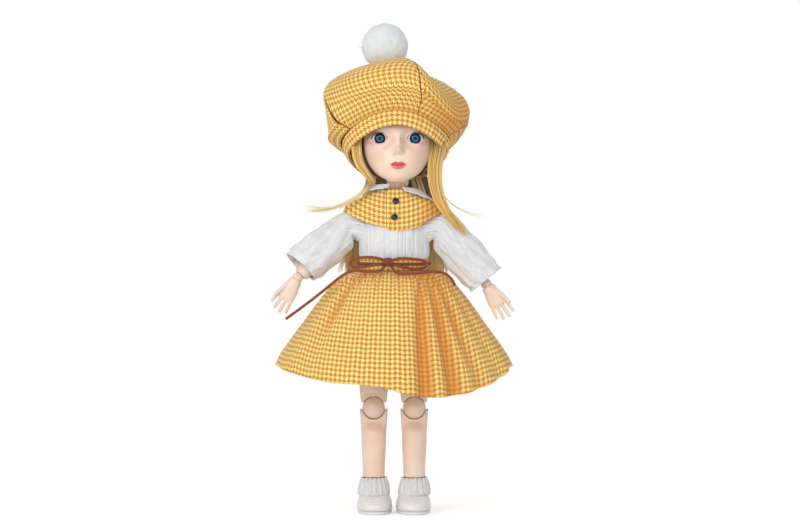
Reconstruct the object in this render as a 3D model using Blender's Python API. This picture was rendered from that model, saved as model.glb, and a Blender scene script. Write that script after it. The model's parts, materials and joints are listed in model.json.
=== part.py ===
"""A ball jointed doll of 30 cm in a beret, a blouse, a capelet, a skirt and shoes.

The doll stands on the floor plane and looks toward -Y. Its limbs are hollowed at their ends over
separate ball pieces, each with a peg. Joints are empties, and every moving piece hangs on the empty
that lies on its joint's axis.
"""

import math

import bmesh
import bpy
from mathutils import Matrix, Vector

MM = 0.001
CENTRE = Vector((0.0, 0.0, 0.0))
UP = Vector((0.0, 0.0, 1.0))
SIDES = {"left": 1.0, "right": -1.0}

# Fits and walls
GAP = 0.3 * MM
CUP_GAP = 0.65 * MM
LIMB_WALL = 1.2 * MM
CLOTH = 1.0 * MM
OVERRUN = 5.0 * MM

# Facets of round pieces
LIMB_SIDES = 14
BALL_SIDES = 12
TORSO_SIDES = 20
HEAD_SIDES = 18
CUTTER_SIDES = 14
CUTTER_STEPS = 8
HAT_SIDES = 24
BELT_SIDES = 32
CORD_SIDES = 6
CLOTH_SIDES = 20
SLEEVE_SIDES = 16
SHOE_SIDES = 16
LOCK_SIDES = 8
FINGER_SIDES = 6
SWEEP_SIDES = 20
CUP_STEPS = 3
BALL_STEPS = 5
COLLAR_STEPS = 9

# Heights of the joints, from the floor up
ANKLE_HEIGHT = 25.0 * MM
SHIN_LENGTH = 48.5 * MM
THIGH_LENGTH = 76.5 * MM
HIP_TO_WAIST = 23.0 * MM
WAIST_TO_SHOULDER = 30.0 * MM
SHOULDER_TO_NECK = 17.0 * MM
NECK_LENGTH = 18.0 * MM
KNEE_HEIGHT = ANKLE_HEIGHT + SHIN_LENGTH
HIP_HEIGHT = KNEE_HEIGHT + THIGH_LENGTH
WAIST_HEIGHT = HIP_HEIGHT + HIP_TO_WAIST
SHOULDER_HEIGHT = WAIST_HEIGHT + WAIST_TO_SHOULDER
NECK_HEIGHT = SHOULDER_HEIGHT + SHOULDER_TO_NECK
HEAD_HEIGHT = NECK_HEIGHT + NECK_LENGTH

# Legs
LEG_SPACING = 14.2 * MM
HIP_BALL_RADIUS = 9.3 * MM
KNEE_BALL_RADIUS = 8.0 * MM
ANKLE_BALL_RADIUS = 6.4 * MM
HIP_PEG_RADIUS = 2.2 * MM
HIP_PEG_REACH = 12.6 * MM
KNEE_PEG_RADIUS = 2.4 * MM
KNEE_PEG_REACH = 16.0 * MM
THIGH_HALF_WIDTH = 12.0 * MM
THIGH_HALF_DEPTH = 12.4 * MM
SHIN_HALF_WIDTH = 8.9 * MM
SHIN_HALF_DEPTH = 9.6 * MM

# Feet and shoes
SHOE_SPACING = 13.6 * MM
SHOE_HALF_WIDTH = 12.2 * MM
SHOE_TOE_REACH = 24.0 * MM
SHOE_HEEL_REACH = 14.0 * MM
SHOE_HEIGHT = 15.6 * MM
SHOE_WALL = 1.4 * MM
SOLE_THICKNESS = 2.2 * MM
LACE_HEIGHT = 8.0 * MM
LACE_RIPPLES = 11

# Arms
SHOULDER_SPACING = 30.0 * MM
UPPER_ARM_LENGTH = 27.5 * MM
FOREARM_LENGTH = 27.5 * MM
HAND_LENGTH = 29.6 * MM
HAND_HALF_WIDTH = 6.2 * MM
HAND_HALF_THICKNESS = 3.2 * MM
FINGER_RADIUS = 1.55 * MM
SHOULDER_BALL_RADIUS = 5.6 * MM
ELBOW_BALL_RADIUS = 5.2 * MM
WRIST_BALL_RADIUS = 3.8 * MM
SHOULDER_PEG_RADIUS = 2.2 * MM
SHOULDER_PEG_REACH = 16.0 * MM
ELBOW_PEG_RADIUS = 1.7 * MM
ELBOW_PEG_REACH = 11.0 * MM
WRIST_PEG_RADIUS = 1.3 * MM
WRIST_PEG_REACH = 8.5 * MM
LEFT_ARM_DROOP = math.radians(51.0)
LEFT_ARM_FORWARD = math.radians(4.0)
LEFT_HAND_DROOP = math.radians(7.0)
RIGHT_ARM_DROOP = math.radians(44.0)
RIGHT_ARM_FORWARD = math.radians(20.0)
RIGHT_HAND_DROOP = math.radians(11.0)

# Torso
PELVIS_HALF_WIDTH = 21.0 * MM
PELVIS_HALF_DEPTH = 13.0 * MM
PELVIS_BOTTOM_DROP = 8.0 * MM
WAIST_BALL_RADIUS = 9.0 * MM
WAIST_PEG_RADIUS = 3.0 * MM
WAIST_PEG_REACH = 17.0 * MM
CHEST_HALF_WIDTH = 22.4 * MM
CHEST_HALF_DEPTH = 12.0 * MM
CHEST_SPLIT = 0.3 * MM
NECK_BALL_RADIUS = 7.6 * MM
NECK_RADIUS = 7.8 * MM
NECK_SIDE_LEAN = 2.5 * MM

# Head, wig and eyes
HEAD_HALF_WIDTH = 25.0 * MM
HEAD_FRONT = 27.0 * MM
HEAD_BACK = 30.0 * MM
HEAD_TALL = 65.0 * MM
CHIN_DROP = 5.5 * MM
HEAD_WALL = 5.0 * MM
HEAD_SPLIT_DEPTH = 10.0 * MM
EYE_RADIUS = 6.4 * MM
EYE_SPACING = 12.3 * MM
EYE_HEIGHT = 25.4 * MM
EYE_INSET = 17.4 * MM
EYE_SLOT_HALF_WIDTH = 5.4 * MM
EYE_SLOT_HALF_HEIGHT = 4.2 * MM
WIG_THICKNESS = 1.6 * MM
HAIRLINE_SHARE = 0.40
HAIR_THICKNESS = 5.0 * MM
HAIR_DROP = 64.0 * MM
HAIR_ROOT_RISE = 17.0 * MM
HAIR_HALF_WIDTH = 31.0 * MM
LOCK_RADIUS = 3.4 * MM
LOCK_DROP_LEFT = 32.0 * MM
LOCK_DROP_RIGHT = 20.0 * MM

# Beret
HAT_RADIUS = 50.5 * MM
HAT_HALF_HEIGHT = 26.0 * MM
HAT_WALL = 1.5 * MM
HAT_BACK_SHIFT = 9.0 * MM
HAT_LIFT = 49.0 * MM
HAT_TILT = math.radians(20.0)
HAT_GORES = 8
HAIR_ROOM_ASIDE = 8.8 * MM
HAIR_ROOM_ALONG = 8.1 * MM
BAND_HALF_WIDTH = HEAD_HALF_WIDTH + HAIR_ROOM_ASIDE
BAND_HALF_DEPTH = (HEAD_FRONT + HEAD_BACK) / 2.0 + HAIR_ROOM_ALONG
BAND_RISE = 14.0 * MM
BAND_WALL = 1.6 * MM
BAND_HEIGHT = 10.0 * MM
BAND_TILT = math.radians(34.0)
POMPOM_RADIUS = 16.5 * MM
POMPOM_ASIDE = 8.0 * MM

# Clothes
SKIRT_HEM_HALF_WIDTH = 81.0 * MM
SKIRT_DEPTH_SHARE = 0.82
SKIRT_HEM_HEIGHT = 95.0 * MM
SKIRT_HEM_SWING = 8.0 * MM
SKIRT_FOLDS = 14
SIDES_IN_A_FOLD = 4
BAND_AT_WAIST_HALF_WIDTH = 24.0 * MM
BAND_AT_WAIST_HALF_DEPTH = 18.6 * MM
BAND_AT_WAIST_HEIGHT = 6.0 * MM
CORD_RADIUS = 1.0 * MM
KNOT_RADIUS = 3.2 * MM
KNOT_ASIDE = 4.0 * MM
KNOT_RISE = 1.5 * MM
BELT_RISE = 1.6 * MM
SLEEVE_MOUTH_RADIUS = 13.6 * MM
SLEEVE_HEAD_RADIUS = 10.2 * MM
SLEEVE_HEAD_DROP = 3.1 * MM
CAPELET_HALF_WIDTH = 35.5 * MM
CAPELET_HALF_DEPTH = 18.0 * MM
CAPELET_NECK_RADIUS = 12.0 * MM
CAPELET_RISE = 7.0 * MM
CAPELET_DROP = 3.0 * MM
BUTTON_RADIUS = 2.2 * MM
BUTTON_THICKNESS = 1.4 * MM
COLLAR_REACH = 12.0 * MM

# Colours: red, green, blue, then roughness and metallic
VINYL = ("vinyl", (0.90, 0.66, 0.54), 0.45, 0.0)
EYE_BLUE = ("eye", (0.12, 0.26, 0.50), 0.08, 0.0)
BLONDE = ("blonde_hair", (0.80, 0.56, 0.22), 0.38, 0.0)
CHECK = ("houndstooth", (0.86, 0.52, 0.10), 0.85, 0.0)
WHITE_COTTON = ("white_cotton", (0.88, 0.88, 0.87), 0.85, 0.0)
WHITE_FELT = ("white_felt", (0.93, 0.93, 0.92), 0.95, 0.0)
SHOE_WHITE = ("shoe_white", (0.86, 0.86, 0.85), 0.40, 0.0)
BROWN_CORD = ("brown_cord", (0.28, 0.10, 0.05), 0.75, 0.0)
DARK_BUTTON = ("dark_button", (0.02, 0.06, 0.05), 0.12, 0.0)


def clear_scene():
    """Remove every object of the open file."""
    for item in list(bpy.data.objects):
        bpy.data.objects.remove(item, do_unlink=True)


def finish(look):
    """The Principled material of one of the colours above."""
    name, colour, roughness, metallic = look
    material = bpy.data.materials.get(name)
    if material is None:
        material = bpy.data.materials.new(name)
        material.use_nodes = True
        shader = material.node_tree.nodes["Principled BSDF"]
        shader.inputs["Base Color"].default_value = (*colour, 1.0)
        shader.inputs["Roughness"].default_value = roughness
        shader.inputs["Metallic"].default_value = metallic
    return material


# Outlines

def ring(centre, half_width, front, back=None, sides=TORSO_SIDES, tilt=0.0, swell=None, lift=None):
    """A closed outline: half_width along X, front toward -Y and back toward +Y."""
    back = front if back is None else back
    turn = Matrix.Rotation(tilt, 3, "X")
    points = []
    for step in range(sides):
        angle = math.tau * step / sides
        reach = swell(angle) if swell else 1.0
        depth = front if math.sin(angle) < 0.0 else back
        point = Vector((half_width * math.cos(angle), depth * math.sin(angle), 0.0)) * reach
        if lift:
            point.z += lift(angle)
        points.append(centre + turn @ point)
    return points


def rim_angle(front, back, outer, inner):
    """How far down a ball a cup's rim reaches, in degrees from the cup's pole, all the way round."""
    def at(angle):
        along, across = -math.sin(angle), math.cos(angle)
        side = outer if across > 0.0 else inner
        end = front if along > 0.0 else back
        return math.radians(side + (end - side) * along * along)
    return at


def ball_ring(centre, radius, polar, way, sides):
    """The outline on a ball at a polar angle, which may change all the way round."""
    points = []
    for step in range(sides):
        angle = math.tau * step / sides
        out = polar(angle)
        spread = radius * math.sin(out)
        height = way * radius * math.cos(out)
        points.append(centre + Vector((spread * math.cos(angle), spread * math.sin(angle), height)))
    return points


def between(start, end, share):
    """The value a share of the way from start to end."""
    return start + (end - start) * share


def frame_along(start, end, front=Vector((0.0, -1.0, 0.0))):
    """A frame at start whose -Z runs to end and whose -Y faces front as nearly as it can."""
    z_axis = (start - end).normalized()
    x_axis = (-front).cross(z_axis).normalized()
    y_axis = z_axis.cross(x_axis)
    frame = Matrix((x_axis, y_axis, z_axis)).transposed().to_4x4()
    frame.translation = start
    return frame


# Solids

def skin(name, rings, look, frame=None, loop=False, first_pole=None, last_pole=None):
    """A closed solid over a row of outlines, with a point or a flat at each end, or none in a loop."""
    edit = bmesh.new()
    rows = [[edit.verts.new(point) for point in points] for points in rings]
    follow = rows[1:] + rows[:1] if loop else rows[1:]
    for near, far in zip(rows, follow):
        for step in range(len(near)):
            ahead = (step + 1) % len(near)
            edit.faces.new((near[step], near[ahead], far[ahead], far[step]))
    if not loop:
        for row, pole in ((rows[0], first_pole), (rows[-1], last_pole)):
            middle = sum((vert.co for vert in row), CENTRE.copy()) / len(row)
            tip = edit.verts.new(pole if pole is not None else middle)
            for step in range(len(row)):
                edit.faces.new((row[step], row[(step + 1) % len(row)], tip))
    bmesh.ops.recalc_face_normals(edit, faces=edit.faces)
    mesh = bpy.data.meshes.new(name)
    edit.to_mesh(mesh)
    edit.free()
    mesh.shade_smooth()
    mesh.set_sharp_from_angle(angle=math.radians(50.0))
    mesh.materials.append(finish(look))
    solid = bpy.data.objects.new(name, mesh)
    bpy.context.scene.collection.objects.link(solid)
    if frame is not None:
        solid.matrix_world = frame
    return solid


def sphere(name, centre, radii, look=VINYL, sides=CUTTER_SIDES, steps=CUTTER_STEPS):
    """A ball, or an egg of three radii."""
    rings = []
    for step in range(1, steps):
        polar = math.pi * step / steps
        level = centre + UP * radii[2] * math.cos(polar)
        share = math.sin(polar)
        rings.append(ring(level, radii[0] * share, radii[1] * share, sides=sides))
    return skin(name, rings, look, first_pole=centre + UP * radii[2], last_pole=centre - UP * radii[2])


def ball_cutter(name, centre, radius):
    """A faceted ball whose flats clear a true ball of the radius."""
    flat_share = math.cos(math.pi / CUTTER_SIDES) * math.cos(math.pi / (2.0 * CUTTER_STEPS))
    return sphere(name, centre, [radius / flat_share] * 3)


def bore_cutter(name, start, end, radius, sides=CUTTER_SIDES):
    """A faceted bar whose flats clear a true bar of the radius."""
    return rod(name, start, end, radius / math.cos(math.pi / sides), sides=sides)


def block(name, low, high):
    """A box between two corners, used as a cutter."""
    middle = (low + high) / 2.0
    half = (high - low) / 2.0
    rings = []
    for height in (-half.z, half.z):
        rings.append([middle + Vector((x * half.x, y * half.y, height))
                      for x, y in ((-1.0, -1.0), (1.0, -1.0), (1.0, 1.0), (-1.0, 1.0))])
    return skin(name, rings, VINYL)


def rod(name, start, end, radius, look=VINYL, sides=CUTTER_SIDES, depth_share=1.0):
    """A straight round bar from start to end."""
    level = abs((end - start).normalized().y) < 0.9
    frame = frame_along(start, end, Vector((0.0, -1.0, 0.0)) if level else UP)
    length = (end - start).length
    rings = [ring(CENTRE, radius, radius * depth_share, sides=sides),
             ring(-UP * length, radius, radius * depth_share, sides=sides)]
    return skin(name, rings, look, frame)


def change(solid, *tools, operation="DIFFERENCE"):
    """Cut, or join, tools into a solid, and leave the tools as hidden guides."""
    for tool in tools:
        step = solid.modifiers.new(tool.name, "BOOLEAN")
        step.operation = operation
        step.solver = "EXACT"
        step.object = tool
        tool.hide_render = True
        tool.display_type = "WIRE"
    return solid


def tube(name, points, radius, look, bevel_resolution=2):
    """A cord: a curve with a round bevel and filled ends."""
    curve = bpy.data.curves.new(name, "CURVE")
    curve.dimensions = "3D"
    curve.bevel_depth = radius
    curve.bevel_resolution = bevel_resolution
    curve.use_fill_caps = True
    spline = curve.splines.new("POLY")
    spline.points.add(len(points) - 1)
    for place, point in zip(spline.points, points):
        place.co = (*point, 1.0)
    curve.materials.append(finish(look))
    cord = bpy.data.objects.new(name, curve)
    bpy.context.scene.collection.objects.link(cord)
    return cord


def smooth_route(points, spacing):
    """Points a spacing apart along a smooth curve through a route."""
    rows = [points[0] * 2.0 - points[1], *points, points[-1] * 2.0 - points[-2]]
    route = []
    for before, start, end, after in zip(rows, rows[1:], rows[2:], rows[3:]):
        steps = max(2, round((end - start).length / spacing))
        for step in range(steps):
            share = step / steps
            route.append(0.5 * (2.0 * start + (end - before) * share
                                + (2.0 * before - 5.0 * start + 4.0 * end - after) * share ** 2
                                + (3.0 * start - before - 3.0 * end + after) * share ** 3))
    route.append(points[-1])
    return route


# Joints

JOINTS = {}


def joint(name, place, parent=None, turn=None):
    """An empty on a joint's axis, under the joint that carries it."""
    empty = bpy.data.objects.new(name, None)
    empty.empty_display_size = GAP
    bpy.context.scene.collection.objects.link(empty)
    world = Matrix.Translation(place) @ (turn if turn is not None else Matrix.Identity(4))
    JOINTS[name] = world
    if parent:
        empty.parent = bpy.data.objects[parent]
        empty.matrix_basis = JOINTS[parent].inverted() @ world
    else:
        empty.matrix_basis = world
    return empty


def hang(name, *solids):
    """Parent solids to a joint without moving them."""
    for solid in solids:
        world = solid.matrix_basis.copy()
        solid.parent = bpy.data.objects[name]
        solid.matrix_basis = JOINTS[name].inverted() @ world


def peg_ball(name, centre, radius, peg_end, peg_radius):
    """A ball turned in one piece with its peg, which runs from the ball to peg_end."""
    frame = frame_along(centre, peg_end)
    neck = math.asin(peg_radius / radius)
    rings = []
    for step in range(1, BALL_STEPS + 1):
        polar = between(0.0, math.pi - neck, step / BALL_STEPS)
        rings.append(ball_ring(CENTRE, radius, lambda angle, polar=polar: polar, 1.0, BALL_SIDES))
    end = -UP * (peg_end - centre).length
    rings.append(ring(end, peg_radius, peg_radius, sides=BALL_SIDES))
    return skin(name, rings, VINYL, frame, first_pole=UP * radius)


def limb(name, frame, length, top, bottom, sections, bore=None):
    """A limb along its frame's -Z, cupped at both ends.

    top and bottom are (ball radius, rim, wall). sections are (length share, half width, front, back).
    bore is (radius, depth) of the hole for the lower ball's peg.
    """
    rings = []
    ball, rim, wall = top
    cup = ball + CUP_GAP
    for step in range(1, CUP_STEPS + 1):
        share = step / CUP_STEPS
        rings.append(ball_ring(CENTRE, cup, lambda angle, share=share: rim(angle) * share, -1.0, LIMB_SIDES))
    rings.append(ball_ring(CENTRE, cup + wall, rim, -1.0, LIMB_SIDES))
    for share, half_width, front, back in sections:
        rings.append(ring(-UP * length * share, half_width, front, back, sides=LIMB_SIDES))
    low = -UP * length
    ball, low_rim, wall = bottom
    low_cup = ball + CUP_GAP
    rings.append(ball_ring(low, low_cup + wall, low_rim, 1.0, LIMB_SIDES))
    mouth = math.asin(bore[0] / low_cup) if bore else 0.0
    last = 0 if bore else 1
    for step in range(CUP_STEPS, last - 1, -1):
        share = step / CUP_STEPS
        rings.append(ball_ring(low, low_cup, lambda angle, share=share: between(mouth, low_rim(angle), share),
                               1.0, LIMB_SIDES))
    if bore:
        rings.append(ring(low + UP * bore[1], bore[0], bore[0], sides=LIMB_SIDES))
        last_pole = None
    else:
        last_pole = low + UP * low_cup
    return skin(name, rings, VINYL, frame, first_pole=-UP * cup, last_pole=last_pole)


# Torso

def build_pelvis():
    """The pelvis, cut clear of the thighs and bored for the hip and waist pegs."""
    hip = Vector((0.0, 0.0, HIP_HEIGHT))
    sections_shares = ((-1.0, 0.30, 0.42), (-0.55, 0.40, 0.62), (0.20, 0.66, 0.70), (0.95, 0.98, 0.94),
                       (1.55, 1.0, 1.0), (1.95, 0.84, 0.94))
    rings = [ring(hip + UP * PELVIS_BOTTOM_DROP * height, PELVIS_HALF_WIDTH * width,
                  PELVIS_HALF_DEPTH * depth) for height, width, depth in sections_shares]
    pelvis = skin("pelvis", rings, VINYL)
    waist = Vector((0.0, 0.0, WAIST_HEIGHT))
    bore_end = waist - UP * (WAIST_PEG_REACH + 2.0 * GAP)
    cutters = [ball_cutter("waist_hollow", waist, WAIST_BALL_RADIUS + GAP),
               bore_cutter("waist_bore", waist, bore_end, WAIST_PEG_RADIUS + GAP)]
    sweep = HIP_BALL_RADIUS + CUP_GAP + LIMB_WALL + 2.0 * GAP
    for side, sign in SIDES.items():
        centre = hip + Vector((sign * LEG_SPACING, 0.0, 0.0))
        inner = hip + Vector((sign * (LEG_SPACING - HIP_BALL_RADIUS * 0.62), 0.0, 0.0))
        outer = hip + Vector((sign * (PELVIS_HALF_WIDTH + OVERRUN), 0.0, 0.0))
        end = centre - Vector((sign * (HIP_PEG_REACH + GAP), 0.0, 0.0))
        cutters.append(bore_cutter(f"thigh_sweep_{side}", inner, outer, sweep, SWEEP_SIDES))
        cutters.append(ball_cutter(f"hip_hollow_{side}", centre, HIP_BALL_RADIUS + GAP))
        cutters.append(bore_cutter(f"hip_bore_{side}", centre, end, HIP_PEG_RADIUS + GAP))
    return change(pelvis, *cutters)


def build_chest():
    """The two moulded halves of the chest, bored for the shoulder pegs and hollowed for two balls."""
    waist = Vector((0.0, 0.0, WAIST_HEIGHT))
    height = NECK_HEIGHT - WAIST_HEIGHT
    sections_shares = ((0.06, 0.52, 0.74), (0.16, 0.68, 0.84), (0.34, 0.82, 0.95), (0.52, 0.97, 1.04),
                       (0.68, 1.0, 0.98), (0.84, 0.88, 0.92), (0.96, 0.66, 0.92), (1.05, 0.54, 0.86))
    halves = []
    for name, way in (("chest_front", -1.0), ("chest_back", 1.0)):
        rings = [ring(waist + UP * height * level, CHEST_HALF_WIDTH * width, CHEST_HALF_DEPTH * depth)
                 for level, width, depth in sections_shares]
        half = skin(name, rings, VINYL)
        neck = Vector((0.0, 0.0, NECK_HEIGHT))
        cutters = [ball_cutter(f"{name}_waist_hollow", waist, WAIST_BALL_RADIUS + GAP),
                   ball_cutter(f"{name}_neck_hollow", neck, NECK_BALL_RADIUS + GAP)]
        reach = CHEST_HALF_WIDTH + OVERRUN
        near, far = sorted((way * CHEST_SPLIT / -2.0 + way * CHEST_SPLIT, -way * reach))
        cutters.append(block(f"{name}_parting", Vector((-reach, near, WAIST_HEIGHT - OVERRUN)),
                             Vector((reach, far, NECK_HEIGHT + OVERRUN))))
        sweep = SHOULDER_BALL_RADIUS + CUP_GAP + LIMB_WALL + 2.0 * GAP
        for side, sign in SIDES.items():
            centre = Vector((sign * SHOULDER_SPACING, 0.0, SHOULDER_HEIGHT))
            end = centre - Vector((sign * (SHOULDER_PEG_REACH + GAP), 0.0, 0.0))
            cutters.append(ball_cutter(f"{name}_arm_sweep_{side}", centre, sweep))
            cutters.append(bore_cutter(f"{name}_bore_{side}", centre, end, SHOULDER_PEG_RADIUS + GAP))
        halves.append(change(half, *cutters))
    return halves


def build_waist_ball():
    """The waist ball with its peg down into the pelvis."""
    waist = Vector((0.0, 0.0, WAIST_HEIGHT))
    return peg_ball("waist_ball", waist, WAIST_BALL_RADIUS, waist - UP * WAIST_PEG_REACH, WAIST_PEG_RADIUS)


def build_neck():
    """The neck post, with its ball in the chest and its dome in the head."""
    base = Vector((0.0, 0.0, NECK_HEIGHT))
    rings = []
    for step in range(1, BALL_STEPS):
        polar = between(0.0, math.radians(125.0), step / (BALL_STEPS - 1))
        rings.append(ball_ring(base, NECK_BALL_RADIUS, lambda angle, polar=polar: polar, -1.0, BALL_SIDES))
    heights_shares = ((0.40, 0.90, 0.6), (0.58, 0.97, 1.0), (1.0, 1.0, 1.0), (1.20, 0.92, 1.0),
                      (1.30, 0.66, 1.0))
    for height, width, lean in heights_shares:
        centre = base + UP * NECK_LENGTH * height + Vector((NECK_SIDE_LEAN * lean, 0.0, 0.0))
        rings.append(ring(centre, NECK_RADIUS * width, NECK_RADIUS * width, sides=BALL_SIDES))
    return skin("neck", rings, VINYL, first_pole=base - UP * NECK_BALL_RADIUS)


# Head

def head_rings(grow=0.0):
    """The head's level outlines from the chin to the crown, or the same grown by a wall."""
    base = Vector((NECK_SIDE_LEAN, 0.0, HEAD_HEIGHT - CHIN_DROP))
    # height, half width, front, back, each a share of the head's own size
    head_shares = ((0.0, 0.17, 0.86, -0.52), (0.025, 0.32, 0.92, -0.16), (0.08, 0.55, 0.955, 0.20),
                   (0.15, 0.72, 0.97, 0.52), (0.24, 0.86, 0.975, 0.80), (0.37, 0.985, 0.985, 0.97),
                   (0.50, 1.01, 0.985, 1.02), (0.63, 0.99, 0.93, 1.03), (0.76, 0.92, 0.76, 1.0),
                   (0.87, 0.76, 0.46, 0.88), (0.95, 0.52, 0.20, 0.66), (0.99, 0.26, -0.02, 0.44))
    rings = []
    for height, width, front, back in head_shares:
        near, far = HEAD_FRONT * front + grow, HEAD_BACK * back + grow
        level = HEAD_TALL * height + grow * (2.0 * height - 1.0)
        centre = base + Vector((0.0, (far - near) / 2.0, level))
        rings.append(ring(centre, HEAD_HALF_WIDTH * width + grow, (near + far) / 2.0, sides=HEAD_SIDES))
    return rings


def build_head():
    """The face and the rear cap, hollow, with wells for the eyes and a hole for the neck."""
    centre = Vector((NECK_SIDE_LEAN, 0.0, HEAD_HEIGHT))
    parting = HEAD_SPLIT_DEPTH
    reach = HEAD_BACK + OVERRUN
    pieces = []
    for name, near, far in (("head_shell", parting, reach), ("head_cap", -reach, parting + GAP)):
        shell = skin(name, head_rings(), VINYL)
        middle = centre + Vector((0.0, (HEAD_BACK - HEAD_FRONT) / 2.0, HEAD_TALL * 0.46))
        radii = (HEAD_HALF_WIDTH - HEAD_WALL, (HEAD_FRONT + HEAD_BACK) / 2.0 - HEAD_WALL, HEAD_TALL * 0.36)
        cutters = [sphere(f"{name}_hollow", middle, radii),
                   block(f"{name}_parting", Vector((-reach, near, HEAD_HEIGHT - 2.0 * CHIN_DROP)),
                         Vector((reach, far, HEAD_HEIGHT + HEAD_TALL)))]
        if name == "head_shell":
            cutters.append(bore_cutter("neck_hole", centre - UP * CHIN_DROP, centre + UP * HEAD_TALL * 0.35,
                                       NECK_RADIUS + GAP))
            for side, sign in SIDES.items():
                eye = centre + Vector((sign * EYE_SPACING, -EYE_INSET, EYE_HEIGHT))
                cutters.append(ball_cutter(f"eye_well_{side}", eye, EYE_RADIUS + GAP))
                slot = rod(f"eye_slot_{side}", eye, eye - Vector((0.0, HEAD_FRONT, 0.0)), EYE_SLOT_HALF_WIDTH,
                           depth_share=EYE_SLOT_HALF_HEIGHT / EYE_SLOT_HALF_WIDTH)
                cutters.append(slot)
        pieces.append(change(shell, *cutters))
    return pieces


def build_eyes():
    """Two ball eyes in the wells of the head."""
    eyes = []
    for side, sign in SIDES.items():
        place = Vector((NECK_SIDE_LEAN + sign * EYE_SPACING, -EYE_INSET, HEAD_HEIGHT + EYE_HEIGHT))
        eyes.append(sphere(f"eye_{side}", place, [EYE_RADIUS] * 3, EYE_BLUE))
    return eyes


def build_wig_cap():
    """The hair over the skull: a shell round the head, open at the face and the neck."""
    cap = skin("wig_cap", head_rings(WIG_THICKNESS), BLONDE)
    inner = skin("wig_inside", head_rings(GAP), BLONDE)
    reach = HEAD_HALF_WIDTH + OVERRUN
    hairline = HEAD_HEIGHT - CHIN_DROP + HEAD_TALL * 0.66
    face = block("face_opening", Vector((-reach, -HEAD_FRONT - OVERRUN, HEAD_HEIGHT - 2.0 * CHIN_DROP)),
                 Vector((reach + NECK_SIDE_LEAN, -HEAD_FRONT * HAIRLINE_SHARE, hairline)))
    under = block("neck_opening", Vector((-reach, -HEAD_FRONT - OVERRUN, HEAD_HEIGHT - 2.0 * CHIN_DROP)),
                  Vector((reach + NECK_SIDE_LEAN, HEAD_BACK + OVERRUN, HEAD_HEIGHT + GAP)))
    return change(cap, inner, face, under)


def flat_outline(centre, half_width, half_depth, rise, sides=LIMB_SIDES):
    """A long flat outline with round ends, bowed back at its middle and raised at its ends."""
    points = []
    for step in range(sides):
        angle = math.tau * step / sides
        across = math.cos(angle)
        out = math.copysign(abs(math.sin(angle)) ** 0.5, math.sin(angle))
        bow = HAIR_THICKNESS * 0.45 * (1.0 - across ** 2)
        points.append(centre + Vector((half_width * across, half_depth * out + bow, rise * across ** 2)))
    return points


def build_hair():
    """The long hair behind the back and the two locks beside the face."""
    half = HAIR_THICKNESS / 2.0
    nape = hat_places()[0].z - BAND_HALF_DEPTH * math.sin(BAND_TILT) - 2.0 * GAP
    tip = nape - HAIR_DROP
    # distance down, half width, thickness, distance behind the body's axis and rise at the sides
    back_shares = ((0.0, 0.80, 0.8, 0.825, 0.1), (0.10, 0.86, 1.0, 0.88, 0.1), (0.24, 0.86, 1.0, 0.86, 0.05),
                   (0.50, 0.92, 1.1, 0.84, 0.0), (0.80, 1.0, 1.1, 0.90, 0.0), (1.0, 0.94, 0.7, 1.10, 0.0))
    # the hair's root inside the hat's band, as shares of its rise, half width and distance behind
    root_shares = ((1.0, 0.42, 0.86), (0.27, 0.42, 0.745))
    rings = []
    for up, width, behind in root_shares:
        centre = Vector((NECK_SIDE_LEAN * 0.5, HEAD_BACK * behind, nape + HAIR_ROOT_RISE * up))
        rings.append(flat_outline(centre, HAIR_HALF_WIDTH * width, half * 0.8, 0.0))
    for down, width, thick, behind, rise in back_shares:
        centre = Vector((NECK_SIDE_LEAN * 0.5, HEAD_BACK * behind, between(nape, tip, down)))
        rings.append(flat_outline(centre, HAIR_HALF_WIDTH * width, half * thick,
                                  BAND_HALF_WIDTH * 0.5 * rise))
    pieces = [skin("hair_back", rings, BLONDE)]
    out = HEAD_HALF_WIDTH + WIG_THICKNESS + LOCK_RADIUS
    # distance down, thickness and distance aside, as shares of the lock's drop and radius
    locks_shares = {"left": (LOCK_DROP_LEFT, ((0.0, 0.7, -1.4), (0.25, 1.0, -0.9), (0.5, 0.95, 0.9),
                                              (0.75, 0.8, 2.4), (1.0, 0.4, 3.6))),
                    "right": (LOCK_DROP_RIGHT, ((0.0, 0.6, -1.5), (0.35, 0.75, -1.3), (0.7, 0.6, -1.2),
                                                (1.0, 0.3, -2.0)))}
    top = hat_places()[0].z - BAND_WALL
    for side, (drop, places) in locks_shares.items():
        lock = []
        for down, thick, aside in places:
            across = NECK_SIDE_LEAN + SIDES[side] * (out + LOCK_RADIUS * aside)
            centre = Vector((across, -HEAD_FRONT * HAIRLINE_SHARE, top - drop * down))
            lock.append(ring(centre, LOCK_RADIUS * thick, LOCK_RADIUS * thick * 1.3, sides=LOCK_SIDES))
        pieces.append(skin(f"hair_lock_{side}", lock, BLONDE))
    return pieces


# Beret

def hat_places():
    """The middle of the band's lower edge, the band's axis, the crown's middle and the crown's axis."""
    edge = Vector((NECK_SIDE_LEAN * 0.6, 0.0, HEAD_HEIGHT + BAND_RISE))
    seat = Vector((NECK_SIDE_LEAN * 0.6, HAT_BACK_SHIFT, HEAD_HEIGHT + HAT_LIFT))
    band_way = Matrix.Rotation(-BAND_TILT, 3, "X") @ UP
    crown_way = Matrix.Rotation(-HAT_TILT, 3, "X") @ UP
    return edge, band_way, seat, crown_way


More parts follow.
